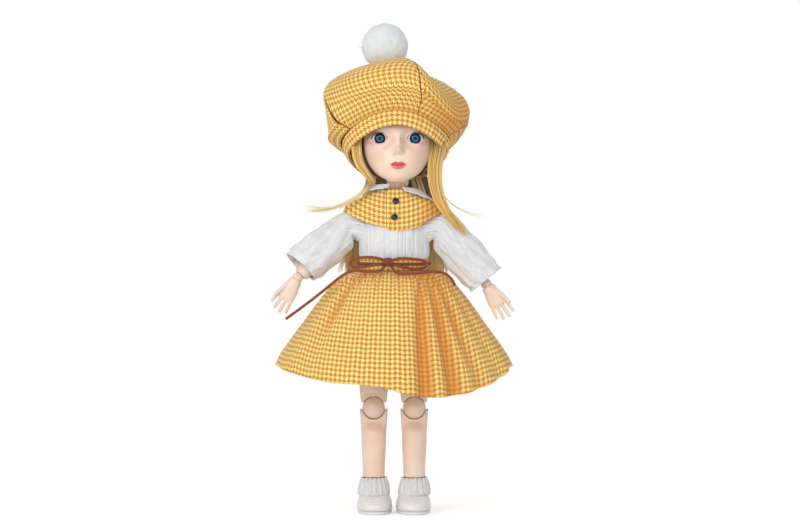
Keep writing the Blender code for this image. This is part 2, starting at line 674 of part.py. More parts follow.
def build_hat():
    """The gored crown, its folded band and the felt ball on top."""
    edge, band_way, seat, crown_way = hat_places()
    mouth = edge + band_way * (BAND_HEIGHT + GAP)

    def gores(angle):
        return 1.0 + 0.022 * (abs(math.sin(angle * HAT_GORES / 2.0)) - 0.6)

    # height and radius, as shares of the crown's half height and radius
    crown_shares = ((0.99, 0.20), (0.93, 0.42), (0.76, 0.69), (0.46, 0.91), (0.10, 1.0), (-0.26, 0.985))
    hoops = [(seat + crown_way * HAT_HALF_HEIGHT * height, HAT_RADIUS * radius, HAT_RADIUS * radius, HAT_TILT)
             for height, radius in crown_shares]
    last, wide, deep, tilt = hoops[-1]
    half_width, half_depth = BAND_HALF_WIDTH * 1.10, BAND_HALF_DEPTH * 1.06
    for share, bulge in ((0.5, 1.07), (1.0, 1.0)):
        hoops.append((last.lerp(mouth, share), between(wide, half_width, share) * bulge,
                      between(deep, half_depth, share) * bulge, between(tilt, BAND_TILT, share)))
    outer, inner = [], []
    for number, (centre, half_wide, half_deep, lean) in enumerate(hoops):
        drop = HAT_WALL if number < 3 else 0.0
        swell = gores if number < len(crown_shares) else None
        outer.append(ring(centre, half_wide, half_deep, sides=HAT_SIDES, tilt=-lean, swell=swell))
        inner.append(ring(centre - crown_way * drop, half_wide - HAT_WALL, half_deep - HAT_WALL,
                          sides=HAT_SIDES, tilt=-lean, swell=swell))
    top = seat + crown_way * HAT_HALF_HEIGHT
    crown = skin("hat_crown", outer + inner[::-1], CHECK, first_pole=top,
                 last_pole=top - crown_way * HAT_WALL)
    # height and size of the band, as shares of its own
    band_shares = ((1.0, 1.10), (0.65, 1.12), (0.25, 1.06), (0.0, 1.0))
    outside, inside = [], []
    for height, width in band_shares:
        centre = edge + band_way * BAND_HEIGHT * height
        wide, deep = BAND_HALF_WIDTH * width, BAND_HALF_DEPTH * width
        outside.append(ring(centre, wide, deep, sides=HAT_SIDES, tilt=-BAND_TILT))
        inside.append(ring(centre, wide - BAND_WALL, deep - BAND_WALL, sides=HAT_SIDES, tilt=-BAND_TILT))
    band = skin("hat_band", outside + inside[::-1], CHECK, loop=True)
    ball = seat + crown_way * (HAT_HALF_HEIGHT + POMPOM_RADIUS + GAP) - Vector((POMPOM_ASIDE, 0.0, 0.0))
    pompom = sphere("pompom", ball, [POMPOM_RADIUS] * 3, WHITE_FELT, sides=14, steps=8)
    return [crown, band, pompom]


# Arms

def arm_angles(side):
    """How far one arm droops and swings forward, and how much further its hand droops."""
    if side == "left":
        return LEFT_ARM_DROOP, LEFT_ARM_FORWARD, LEFT_HAND_DROOP
    return RIGHT_ARM_DROOP, RIGHT_ARM_FORWARD, RIGHT_HAND_DROOP


def arm_points(side):
    """The shoulder, the elbow and the wrist of one arm."""
    sign = SIDES[side]
    droop, forward, _ = arm_angles(side)
    shoulder = Vector((sign * SHOULDER_SPACING, 0.0, SHOULDER_HEIGHT))
    level = Vector((sign * math.cos(forward), -math.sin(forward), 0.0))
    way = level * math.cos(droop) - UP * math.sin(droop)
    elbow = shoulder + way * UPPER_ARM_LENGTH
    wrist = elbow + way * FOREARM_LENGTH
    return shoulder, elbow, wrist


def build_hand(side, frame):
    """A palm with four fingers and a thumb, cupped round the wrist ball."""
    sign = SIDES[side]
    rim = rim_angle(60.0, 60.0, 60.0, 60.0)
    cup = WRIST_BALL_RADIUS + CUP_GAP
    rings = []
    for step in range(1, CUP_STEPS + 1):
        share = step / CUP_STEPS
        rings.append(ball_ring(CENTRE, cup, lambda angle, share=share: rim(angle) * share, -1.0, LIMB_SIDES))
    rings.append(ball_ring(CENTRE, cup + LIMB_WALL * 0.7, rim, -1.0, LIMB_SIDES))
    palm_shares = ((0.22, 0.78, 1.15), (0.36, 0.98, 1.05), (0.50, 1.0, 0.92), (0.58, 0.92, 0.80))
    for share, width, thick in palm_shares:
        rings.append(ring(-UP * HAND_LENGTH * share, HAND_HALF_WIDTH * width, HAND_HALF_THICKNESS * thick,
                          sides=LIMB_SIDES))
    palm = skin(f"hand_{side}", rings, VINYL, frame, first_pole=-UP * cup)
    # where each finger starts, across the palm, and how far down it reaches
    fingers_shares = ((-0.72, 0.88), (-0.24, 0.98), (0.24, 1.0), (0.72, 0.93))
    tools = []
    for number, (across, reach) in enumerate(fingers_shares):
        knuckle = Vector((HAND_HALF_WIDTH * across, 0.0, -HAND_LENGTH * 0.50))
        tip = Vector((HAND_HALF_WIDTH * across * 1.12, -FINGER_RADIUS, -HAND_LENGTH * reach + FINGER_RADIUS))
        tools.append(finger(f"finger_{number}_{side}", frame, knuckle, tip))
    root = Vector((sign * HAND_HALF_WIDTH * 0.60, -FINGER_RADIUS * 1.1, -HAND_LENGTH * 0.30))
    tip = Vector((sign * HAND_HALF_WIDTH * 1.05, -FINGER_RADIUS * 2.6, -HAND_LENGTH * 0.64))
    tools.append(finger(f"thumb_{side}", frame, root, tip))
    return change(palm, *tools, operation="UNION")


def finger(name, frame, start, end):
    """A tapered finger with a round tip."""
    along = frame_along(start, end)
    length = (end - start).length
    finger_shares = ((0.0, 1.0), (0.90, 0.88), (1.03, 0.5))
    rings = [ring(-UP * length * share, FINGER_RADIUS * width, FINGER_RADIUS * width, sides=FINGER_SIDES)
             for share, width in finger_shares]
    return skin(name, rings, VINYL, frame @ along)


def build_arm(side):
    """One arm: three balls with pegs, the upper arm, the forearm, the hand and the sleeve."""
    sign = SIDES[side]
    shoulder, elbow, wrist = arm_points(side)
    frame = frame_along(shoulder, elbow)
    turn = frame.to_3x3().to_4x4()
    joint(f"shoulder_swing_{side}", shoulder, "waist_bend")
    joint(f"shoulder_raise_{side}", shoulder, f"shoulder_swing_{side}")
    joint(f"elbow_twist_{side}", elbow, f"shoulder_raise_{side}", turn)
    joint(f"elbow_bend_{side}", elbow, f"elbow_twist_{side}", turn)
    joint(f"wrist_twist_{side}", wrist, f"elbow_bend_{side}", turn)
    joint(f"wrist_bend_{side}", wrist, f"wrist_twist_{side}", turn)
    peg_end = shoulder - Vector((sign * SHOULDER_PEG_REACH, 0.0, 0.0))
    hang(f"shoulder_swing_{side}",
         peg_ball(f"shoulder_ball_{side}", shoulder, SHOULDER_BALL_RADIUS, peg_end, SHOULDER_PEG_RADIUS))
    ball_rim = rim_angle(62.0, 62.0, 62.0, 62.0)
    low_rim = rim_angle(34.0, 62.0, 66.0, 66.0)
    high_rim = rim_angle(36.0, 74.0, 78.0, 78.0)
    wrist_rim = rim_angle(50.0, 50.0, 50.0, 50.0)
    arm_radius = ELBOW_BALL_RADIUS + CUP_GAP + LIMB_WALL
    wrist_radius = WRIST_BALL_RADIUS + CUP_GAP + LIMB_WALL * 0.7
    upper_sections = ((0.27, arm_radius * 1.12, arm_radius * 1.12, None),
                      (0.50, arm_radius * 1.08, arm_radius * 1.08, None),
                      (0.74, arm_radius, arm_radius, None))
    upper = limb(f"upper_arm_{side}", frame, UPPER_ARM_LENGTH,
                 (SHOULDER_BALL_RADIUS, ball_rim, LIMB_WALL), (ELBOW_BALL_RADIUS, low_rim, LIMB_WALL),
                 upper_sections, (ELBOW_PEG_RADIUS + GAP, ELBOW_PEG_REACH + GAP))
    hang(f"shoulder_raise_{side}", upper, build_sleeve(side))
    up = (shoulder - elbow).normalized()
    peg_end = elbow + up * ELBOW_PEG_REACH
    hang(f"elbow_twist_{side}",
         peg_ball(f"elbow_ball_{side}", elbow, ELBOW_BALL_RADIUS, peg_end, ELBOW_PEG_RADIUS))
    middle_radius = between(arm_radius, wrist_radius, 0.5)
    fore_sections = ((0.28, arm_radius, arm_radius, None),
                     (0.55, middle_radius, middle_radius, None),
                     (0.84, wrist_radius * 1.02, wrist_radius * 1.02, None))
    fore_frame = Matrix.Translation(elbow) @ turn
    fore = limb(f"forearm_{side}", fore_frame, FOREARM_LENGTH,
                (ELBOW_BALL_RADIUS, high_rim, LIMB_WALL), (WRIST_BALL_RADIUS, wrist_rim, LIMB_WALL * 0.7),
                fore_sections, (WRIST_PEG_RADIUS + GAP, WRIST_PEG_REACH + GAP))
    hang(f"elbow_bend_{side}", fore)
    peg_end = wrist + up * WRIST_PEG_REACH
    hang(f"wrist_twist_{side}",
         peg_ball(f"wrist_ball_{side}", wrist, WRIST_BALL_RADIUS, peg_end, WRIST_PEG_RADIUS))
    droop = Matrix.Rotation(sign * arm_angles(side)[2], 4, "Y")
    hang(f"wrist_bend_{side}", build_hand(side, Matrix.Translation(wrist) @ turn @ droop))


def hoop(centre, normal, half_height, half_depth, sides=SLEEVE_SIDES):
    """An oval outline across a limb, square to the normal and upright."""
    deep = Vector((0.0, 1.0, 0.0))
    deep = (deep - normal * deep.dot(normal)).normalized()
    tall = deep.cross(normal)
    return [centre + tall * half_height * math.cos(math.tau * step / sides)
            + deep * half_depth * math.sin(math.tau * step / sides) for step in range(sides)]


def build_sleeve(side):
    """The wide sleeve, from the armhole to just above the wrist."""
    sign = SIDES[side]
    shoulder, _, wrist = arm_points(side)
    way = (wrist - shoulder).normalized()
    level = Vector((sign, 0.0, 0.0))
    armhole = Vector((sign * (BAND_AT_WAIST_HALF_WIDTH + 4.0 * GAP), 0.0, SHOULDER_HEIGHT - SLEEVE_HEAD_DROP))
    crown = shoulder + way * SLEEVE_HEAD_DROP
    length = (wrist - shoulder).length
    # distance down the arm and radius, as shares of the arm and of the mouth
    sleeve_shares = ((0.24, 0.90), (0.50, 1.0), (0.76, 1.0), (0.90, 0.97))
    hoops = [(armhole, level, SLEEVE_HEAD_RADIUS, SLEEVE_HEAD_RADIUS),
             (crown, level.slerp(way, 0.5), SLEEVE_HEAD_RADIUS * 0.98, SLEEVE_HEAD_RADIUS)]
    for down, width in sleeve_shares:
        radius = SLEEVE_MOUTH_RADIUS * width
        hoops.append((shoulder + way * length * down, way, radius, radius * 0.84))
    outside = [hoop(*sizes) for sizes in hoops]
    inside = [hoop(centre, normal, tall - CLOTH, deep - CLOTH) for centre, normal, tall, deep in hoops]
    return skin(f"sleeve_{side}", outside + inside[::-1], WHITE_COTTON, loop=True)


# Legs

def build_leg(side):
    """One leg: the hip and knee balls, the thigh, the shin, the foot and the shoe."""
    sign = SIDES[side]
    hip = Vector((sign * LEG_SPACING, 0.0, HIP_HEIGHT))
    knee = Vector((sign * LEG_SPACING, 0.0, KNEE_HEIGHT))
    ankle = Vector((sign * LEG_SPACING, 0.0, ANKLE_HEIGHT))
    joint(f"hip_swing_{side}", hip)
    joint(f"hip_spread_{side}", hip, f"hip_swing_{side}")
    joint(f"knee_twist_{side}", knee, f"hip_spread_{side}")
    joint(f"knee_bend_{side}", knee, f"knee_twist_{side}")
    joint(f"ankle_bend_{side}", ankle, f"knee_bend_{side}")
    peg_end = hip - Vector((sign * HIP_PEG_REACH, 0.0, 0.0))
    hang(f"hip_swing_{side}", peg_ball(f"hip_ball_{side}", hip, HIP_BALL_RADIUS, peg_end, HIP_PEG_RADIUS))
    outer, inner = (74.0, 22.0) if sign > 0.0 else (22.0, 74.0)
    hip_rim = rim_angle(56.0, 56.0, outer, inner)
    knee_low = rim_angle(20.0, 34.0, 65.0, 65.0)
    knee_high = rim_angle(20.0, 40.0, 84.0, 84.0)
    ankle_low = rim_angle(52.0, 52.0, 60.0, 60.0)
    knee_wall = KNEE_BALL_RADIUS + CUP_GAP + LIMB_WALL
    thigh_sections = ((0.17, THIGH_HALF_WIDTH, THIGH_HALF_DEPTH, None),
                      (0.36, THIGH_HALF_WIDTH * 0.97, THIGH_HALF_DEPTH * 0.97, None),
                      (0.62, THIGH_HALF_WIDTH * 0.86, THIGH_HALF_DEPTH * 0.86, None),
                      (0.84, knee_wall, knee_wall, None))
    thigh = limb(f"thigh_{side}", Matrix.Translation(hip), THIGH_LENGTH,
                 (HIP_BALL_RADIUS, hip_rim, LIMB_WALL), (KNEE_BALL_RADIUS, knee_low, LIMB_WALL),
                 thigh_sections, (KNEE_PEG_RADIUS + GAP, KNEE_PEG_REACH + GAP))
    hang(f"hip_spread_{side}", thigh)
    hang(f"knee_twist_{side}",
         peg_ball(f"knee_ball_{side}", knee, KNEE_BALL_RADIUS, knee + UP * KNEE_PEG_REACH, KNEE_PEG_RADIUS))
    ankle_wall = ANKLE_BALL_RADIUS + CUP_GAP + LIMB_WALL
    shin_sections = ((0.26, SHIN_HALF_WIDTH, SHIN_HALF_DEPTH * 0.96, SHIN_HALF_DEPTH),
                     (0.50, SHIN_HALF_WIDTH * 0.97, SHIN_HALF_DEPTH * 0.92, SHIN_HALF_DEPTH * 1.02),
                     (0.80, ankle_wall, ankle_wall, None))
    shin = limb(f"shin_{side}", Matrix.Translation(knee), SHIN_LENGTH,
                (KNEE_BALL_RADIUS, knee_high, LIMB_WALL), (ANKLE_BALL_RADIUS, ankle_low, LIMB_WALL),
                shin_sections)
    hang(f"knee_bend_{side}", shin)
    hang(f"ankle_bend_{side}", *build_foot(side))


def footprint(sign, height, width, toe, heel):
    """A level outline of the foot or the shoe: round at the toe and the heel."""
    centre = Vector((sign * between(LEG_SPACING, SHOE_SPACING, width / SHOE_HALF_WIDTH), 0.0, height))
    return ring(centre, width, toe, heel, sides=SHOE_SIDES)


def build_foot(side):
    """The foot with its ankle ball, in a shoe of an upper, a sole and a ruffled edge."""
    sign = SIDES[side]
    ankle = Vector((sign * LEG_SPACING, 0.0, ANKLE_HEIGHT))
    floor = SOLE_THICKNESS + GAP
    # height, half width, toe and heel, as shares of the shoe
    shoe_shares = ((0.0, 0.94, 0.95, 0.95), (0.16, 1.0, 1.0, 1.0), (0.45, 0.98, 0.93, 0.97),
                   (0.72, 0.88, 0.74, 0.90), (0.90, 0.80, 0.58, 0.84), (1.0, 0.76, 0.52, 0.80))
    outside, inside = [], []
    tall = SHOE_HEIGHT - floor
    for height, width, toe, heel in shoe_shares:
        level = floor + tall * height
        half, front, back = SHOE_HALF_WIDTH * width, SHOE_TOE_REACH * toe, SHOE_HEEL_REACH * heel
        outside.append(footprint(sign, level, half, front, back))
        lift = SHOE_WALL if height == 0.0 else 0.0
        inside.append(footprint(sign, level + lift, half - SHOE_WALL, front - SHOE_WALL, back - SHOE_WALL))
    upper = skin(f"shoe_upper_{side}", outside + inside[::-1], SHOE_WHITE)
    sole_shares = ((0.0, 0.95), (0.3, 0.98), (1.0, 0.98))
    sole_rings = [footprint(sign, SOLE_THICKNESS * level, SHOE_HALF_WIDTH * share, SHOE_TOE_REACH * share,
                            SHOE_HEEL_REACH * share) for level, share in sole_shares]
    sole = skin(f"shoe_sole_{side}", sole_rings, SHOE_WHITE)
    foot_rings = []
    for height, width, toe, heel in shoe_shares:
        slack = SHOE_WALL + 2.0 * GAP
        level = floor + tall * height + (SHOE_WALL + GAP if height == 0.0 else 0.0)
        foot_rings.append(footprint(sign, level, SHOE_HALF_WIDTH * width - slack,
                                    SHOE_TOE_REACH * toe - slack, SHOE_HEEL_REACH * heel - slack))
    for polar_degrees in (128.0, 100.0, 72.0, 44.0, 20.0):
        polar = math.radians(polar_degrees)
        foot_rings.append(ball_ring(ankle, ANKLE_BALL_RADIUS, lambda angle, polar=polar: polar, 1.0,
                                   SHOE_SIDES))
    foot = skin(f"foot_{side}", foot_rings, VINYL, last_pole=ankle + UP * ANKLE_BALL_RADIUS)
    return [foot, upper, sole, build_lace(side, sign)]


def build_lace(side, sign):
    """The ruffled edge that stands on the shoe's mouth."""
    def ruffle(angle):
        return 1.0 + 0.05 * math.cos(angle * LACE_RIPPLES)

    low = SHOE_HEIGHT + GAP
    mouth, toe, heel = SHOE_HALF_WIDTH * 0.76, SHOE_TOE_REACH * 0.52, SHOE_HEEL_REACH * 0.80
    outside, inside = [], []
    for rise, grow in ((0.0, 0.0), (0.5, CLOTH * 0.6), (1.0, CLOTH * 0.3)):
        centre = Vector((sign * between(LEG_SPACING, SHOE_SPACING, 0.76), 0.0, low + LACE_HEIGHT * rise))
        swell = ruffle if rise else None
        for rings, wall in ((outside, 0.0), (inside, CLOTH)):
            rings.append(ring(centre, mouth + grow - wall, toe + grow - wall, heel + grow - wall,
                              sides=2 * LACE_RIPPLES, swell=swell))
    return skin(f"shoe_lace_{side}", outside + inside[::-1], WHITE_COTTON, loop=True)


# Clothes

def shell(name, rings_in_sizes, look, sides=TORSO_SIDES, lifts=None, swells=None, wall=CLOTH):
    """A tube of cloth round the body, from (height, half width, half depth) down or up."""
    outside, inside = [], []
    for number, (height, half_width, half_depth) in enumerate(rings_in_sizes):
        lift = lifts[number] if lifts else None
        swell = swells[number] if swells else None
        centre = UP * height
        outside.append(ring(centre, half_width, half_depth, sides=sides, lift=lift, swell=swell))
        inside.append(ring(centre, half_width - wall, half_depth - wall, sides=sides, lift=lift, swell=swell))
    return skin(name, outside + inside[::-1], look, loop=True)


def build_skirt():
    """The gathered skirt, with its folds, and the waistband above it."""
    top = WAIST_HEIGHT - BAND_AT_WAIST_HEIGHT / 2.0
    waist = BAND_AT_WAIST_HALF_WIDTH
    flare = SKIRT_HEM_HALF_WIDTH - waist
    fall = top - GAP - SKIRT_HEM_HEIGHT
    # distance down and out, as shares of the fall and the flare, and the depth of the folds
    skirt_shares = ((0.0, -0.01, 0.0), (0.05, 0.20, 0.010), (0.16, 0.34, 0.018), (0.42, 0.63, 0.030),
                    (0.74, 0.89, 0.045), (1.0, 1.0, 0.056))

    def fold(depth):
        def at(angle):
            wander = 0.35 * math.sin(2.0 * angle + 0.6)
            return 1.0 + depth * math.sin(SKIRT_FOLDS * angle + wander)
        return at

    def hem(share):
        def at(angle):
            return -SKIRT_HEM_SWING * share * (1.0 - 2.0 * math.cos(angle) ** 2)
        return at

    rings = []
    for down, out, _ in skirt_shares:
        half_width = waist + flare * out
        depth_share = between(BAND_AT_WAIST_HALF_DEPTH / waist, SKIRT_DEPTH_SHARE, min(1.0, down * 5.0))
        rings.append((top - GAP - fall * down, half_width, half_width * depth_share))
    swells = [fold(depth) for _, _, depth in skirt_shares]
    lifts = [hem(down) for down, _, _ in skirt_shares]
    skirt = shell("skirt", rings, CHECK, sides=SKIRT_FOLDS * SIDES_IN_A_FOLD, lifts=lifts, swells=swells)
    band_rings = [(top + BAND_AT_WAIST_HEIGHT * share, waist, BAND_AT_WAIST_HALF_DEPTH)
                  for share in (0.0, 0.5, 1.0)]
    band = shell("waistband", band_rings, CHECK)
    return [skirt, band]


def build_blouse():
    """The pleated bodice between the waistband and the capelet."""
    low = WAIST_HEIGHT + BAND_AT_WAIST_HEIGHT / 2.0 + GAP
    high = SHOULDER_HEIGHT - SHOULDER_PEG_RADIUS - 3.0 * GAP
    waist = BAND_AT_WAIST_HALF_WIDTH
    bodice_shares = ((0.0, 1.0, 1.0), (0.18, 1.03, 1.05), (0.50, 1.01, 1.04), (0.82, 0.98, 0.98),
                     (1.0, 0.965, 0.92))
    rings = [(between(low, high, level), waist * width, BAND_AT_WAIST_HALF_DEPTH * depth)
             for level, width, depth in bodice_shares]
    return shell("blouse_bodice", rings, WHITE_COTTON, sides=CLOTH_SIDES)


def build_capelet():
    """The yoke over the shoulders with its collar and buttons."""
    top = NECK_HEIGHT + CAPELET_RISE
    bottom = SHOULDER_HEIGHT - CAPELET_DROP
    reach = CAPELET_HALF_WIDTH - CAPELET_NECK_RADIUS
    depth = CAPELET_HALF_DEPTH - CAPELET_NECK_RADIUS
    # drop, reach and how far the shoulder sides are lifted, as shares
    capelet_shares = ((0.0, 0.0, 0.0), (0.16, 0.30, 0.0), (0.34, 0.62, 0.05), (0.62, 0.88, 0.20),
                      (1.0, 1.0, 0.42))
    tall = top - bottom

    def shoulder_lift(share):
        return lambda angle: tall * share * math.cos(angle) ** 2

    rings = [(top - tall * drop, CAPELET_NECK_RADIUS + reach * out, CAPELET_NECK_RADIUS + depth * out ** 0.7)
             for drop, out, _ in capelet_shares]
    lifts = [shoulder_lift(share) for _, _, share in capelet_shares]
    pieces = [shell("capelet", rings, CHECK, sides=CLOTH_SIDES, lifts=lifts)]
    for name, drop in (("button_upper", 0.30), ("button_lower", 0.73)):
        out = 0.5 if drop < 0.5 else 0.94
        front = CAPELET_NECK_RADIUS + depth * out ** 0.7 + CLOTH * 0.4
        start = Vector((0.0, -front - GAP, top - tall * drop))
        end = start - Vector((0.0, BUTTON_THICKNESS, -BUTTON_THICKNESS * 0.3))
        pieces.append(rod(name, start, end, BUTTON_RADIUS, DARK_BUTTON))
    return pieces + build_collar(top)


def build_collar(top):
    """Two rounded collar leaves lying on the capelet."""
    leaves = []
    for side, sign in SIDES.items():
        rows = []
        for step in range(COLLAR_STEPS):
            share = step / (COLLAR_STEPS - 1)
            angle = math.radians(between(-80.0, 58.0, share))
            away = Vector((sign * math.cos(angle), math.sin(angle), 0.0))
            width = COLLAR_REACH * (0.35 + 0.65 * math.sin(math.pi * between(0.10, 0.90, share)) ** 0.5)
            near = away * (CAPELET_NECK_RADIUS + GAP) + UP * (top + GAP)
            far = near + away * width - UP * width * 0.22
            rise = UP * CLOTH * 0.8
            rows.append([near, far, far + rise, near + rise])
        leaves.append(skin(f"collar_{side}", rows, WHITE_COTTON))
    return leaves


def build_belt():
    """The cord round the waist, with its knot, two loops and two free ends."""
    across = BAND_AT_WAIST_HALF_WIDTH + CORD_RADIUS + GAP
    depth = BAND_AT_WAIST_HALF_DEPTH + CORD_RADIUS + GAP
    girdle = []
    for step in range(BELT_SIDES):
        angle = math.tau * step / BELT_SIDES
        girdle.append([Vector(((across + CORD_RADIUS * math.cos(turn)) * math.cos(angle),
                               (depth + CORD_RADIUS * math.cos(turn)) * math.sin(angle),
                               WAIST_HEIGHT + BELT_RISE + CORD_RADIUS * math.sin(turn)))
                       for turn in (math.tau * k / CORD_SIDES for k in range(CORD_SIDES))])
    pieces = [skin("belt_cord", girdle, BROWN_CORD, loop=True)]
    front = -depth - CORD_RADIUS - KNOT_RADIUS - GAP
    knot = Vector((-KNOT_ASIDE, front, WAIST_HEIGHT + BELT_RISE + KNOT_RISE))
    pieces.append(sphere("belt_knot", knot, [KNOT_RADIUS] * 3, BROWN_CORD))

    def from_knot(route):
        return [knot + Vector(place) * MM for place in route]

    # routes in millimetres from the knot's centre: across, toward the back, up
    loops = {"right": ((-3.6, -0.2, 1.6), (-9.0, -1.4, 3.0), (-18.0, 0.0, 3.2), (-25.0, 3.0, 1.0),
                       (-26.6, 4.0, -1.2), (-24.0, 3.0, -3.4), (-16.0, 0.0, -3.2), (-9.0, -1.6, -1.8),
                       (-3.7, -0.6, -1.2)),
             "left": ((3.6, -0.2, 1.4), (9.0, -1.6, 2.6), (17.0, -0.6, 2.2), (24.0, 1.6, 1.0),
                      (27.0, 2.6, -1.0), (25.0, 2.0, -4.0), (17.0, -0.4, -4.6), (9.0, -2.2, -3.2),
                      (3.5, -1.2, -1.6))}
    for side, route in loops.items():
        points = smooth_route(from_knot(route), 4.0 * CORD_RADIUS)
        pieces.append(tube(f"belt_loop_{side}", points, CORD_RADIUS, BROWN_CORD))
    tails = {"right": ((-2.4, -0.8, -3.0), (-6.5, -4.0, -6.4), (-14.0, -5.4, -6.6), (-24.0, -4.0, -6.0),
                       (-32.0, -2.6, -9.5), (-42.0, -1.4, -17.5), (-52.0, -0.6, -25.5), (-62.0, 0.0, -33.0),
                       (-71.0, 0.4, -39.5)),
             "left": ((2.2, -0.8, -3.2), (6.0, -5.0, -7.4), (14.0, -6.4, -7.8), (24.0, -4.6, -7.4),
                      (33.0, 0.4, -6.6), (40.0, 4.0, -8.4), (44.4, 5.0, -12.4), (46.4, 5.4, -16.4))}
    for side, route in tails.items():
        points = smooth_route(from_knot(route), 6.0 * CORD_RADIUS)
        pieces.append(tube(f"cord_tail_{side}", points, CORD_RADIUS, BROWN_CORD))
    return pieces


def main():
    """Build the doll from the waist out."""
    clear_scene()
    waist = Vector((0.0, 0.0, WAIST_HEIGHT))
    joint("waist_turn", waist)
    joint("waist_bend", waist, "waist_turn")
    joint("neck_nod", Vector((0.0, 0.0, NECK_HEIGHT)), "waist_bend")
    joint("head_turn", Vector((NECK_SIDE_LEAN, 0.0, HEAD_HEIGHT)), "neck_nod")
    joint("hat_lift", hat_places()[0], "head_turn", Matrix.Rotation(-HAT_TILT, 4, "X"))
    build_pelvis()
    build_skirt()
    build_belt()
    hang("waist_turn", build_waist_ball())
    hang("waist_bend", *build_chest(), build_blouse(), *build_capelet())
    hang("neck_nod", build_neck())
    hang("head_turn", *build_head(), *build_eyes(), build_wig_cap(), *build_hair())
    hang("hat_lift", *build_hat())
    for side in SIDES:
        build_arm(side)
        build_leg(side)


main()
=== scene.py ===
"""The dressed model of a 30 cm ball jointed doll in a beret, a blouse, a capelet, a skirt and shoes."""
import json
import logging
import math
import random
from collections.abc import Callable, Sequence
from dataclasses import dataclass, field
from enum import Enum

import bmesh
import bpy
import numpy as np
from mathutils import Matrix, Vector


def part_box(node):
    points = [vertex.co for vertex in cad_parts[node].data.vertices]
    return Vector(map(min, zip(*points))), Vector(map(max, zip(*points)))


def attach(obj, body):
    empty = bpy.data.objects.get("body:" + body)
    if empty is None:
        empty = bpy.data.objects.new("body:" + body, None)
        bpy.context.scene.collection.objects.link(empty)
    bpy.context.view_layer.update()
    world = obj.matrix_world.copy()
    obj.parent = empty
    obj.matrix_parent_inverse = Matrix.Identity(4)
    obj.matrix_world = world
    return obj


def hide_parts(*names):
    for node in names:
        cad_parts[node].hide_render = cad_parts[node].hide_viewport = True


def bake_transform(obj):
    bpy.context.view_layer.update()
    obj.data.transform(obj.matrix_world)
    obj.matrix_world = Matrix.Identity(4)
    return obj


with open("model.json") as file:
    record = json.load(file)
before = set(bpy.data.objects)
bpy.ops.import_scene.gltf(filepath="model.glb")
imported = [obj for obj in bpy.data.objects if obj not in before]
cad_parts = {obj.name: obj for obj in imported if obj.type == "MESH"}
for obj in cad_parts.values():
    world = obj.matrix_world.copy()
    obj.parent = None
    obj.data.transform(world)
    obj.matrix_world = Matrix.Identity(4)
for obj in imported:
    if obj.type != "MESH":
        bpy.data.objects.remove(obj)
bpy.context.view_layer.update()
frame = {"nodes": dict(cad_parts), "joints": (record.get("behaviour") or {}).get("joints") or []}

MM = 0.001
LOG = logging.getLogger("doll")
SIGN = {"left": 1.0, "right": -1.0}
JOINTS = {joint["name"]: np.array(joint.get("pos_m", (0.0, 0.0, 0.0))) / MM for joint in frame["joints"]}
Colour = tuple[float, float, float]


class Slot(Enum):
    """The record's material slots."""

    VINYL = "vinyl"
    EYES = "eyes"
    HAIR = "hair"
    CHECK = "checked_cloth"
    COTTON = "white_cotton"
    FELT = "white_felt"
    SHOES = "shoes"
    CORD = "cord"
    BUTTONS = "buttons"


class Wire:
    """An output socket whose sums add Math nodes."""

    def __init__(self, graph: "Graph", socket: bpy.types.NodeSocket) -> None:
        """Keep the socket and the graph that it belongs to."""
        self.graph = graph
        self.socket = socket

    def math(self, operation: str, *others: "Wire | float", first: bool = True) -> "Wire":
        """Add a Math node.

        Args:
            operation: the Math node's operation.
            others: the other operands.
            first: whether this wire is the first operand.

        Returns:
            The node's value.
        """
        operands = (self, *others) if first else (*others, self)
        return self.graph.node("ShaderNodeMath", {"operation": operation}, dict(enumerate(operands)))

    def __add__(self, other: "Wire | float") -> "Wire":
        """This and the other."""
        return self.math("ADD", other)

    def __sub__(self, other: "Wire | float") -> "Wire":
        """This less the other."""
        return self.math("SUBTRACT", other)

    def __rsub__(self, other: float) -> "Wire":
        """The other less this."""
        return self.math("SUBTRACT", other, first=False)

    def __mul__(self, other: "Wire | float") -> "Wire":
        """This times the other."""
        return self.math("MULTIPLY", other)

    def __truediv__(self, other: "Wire | float") -> "Wire":
        """This over the other."""
        return self.math("DIVIDE", other)

    __radd__ = __add__
    __rmul__ = __mul__

    def smooth(self, low: float, high: float) -> "Wire":
        """A smooth step from 0 at low to 1 at high."""
        settings = {"interpolation_type": "SMOOTHSTEP"}
        values = {"Value": self, "From Min": low, "From Max": high}
        return self.graph.node("ShaderNodeMapRange", settings, values)


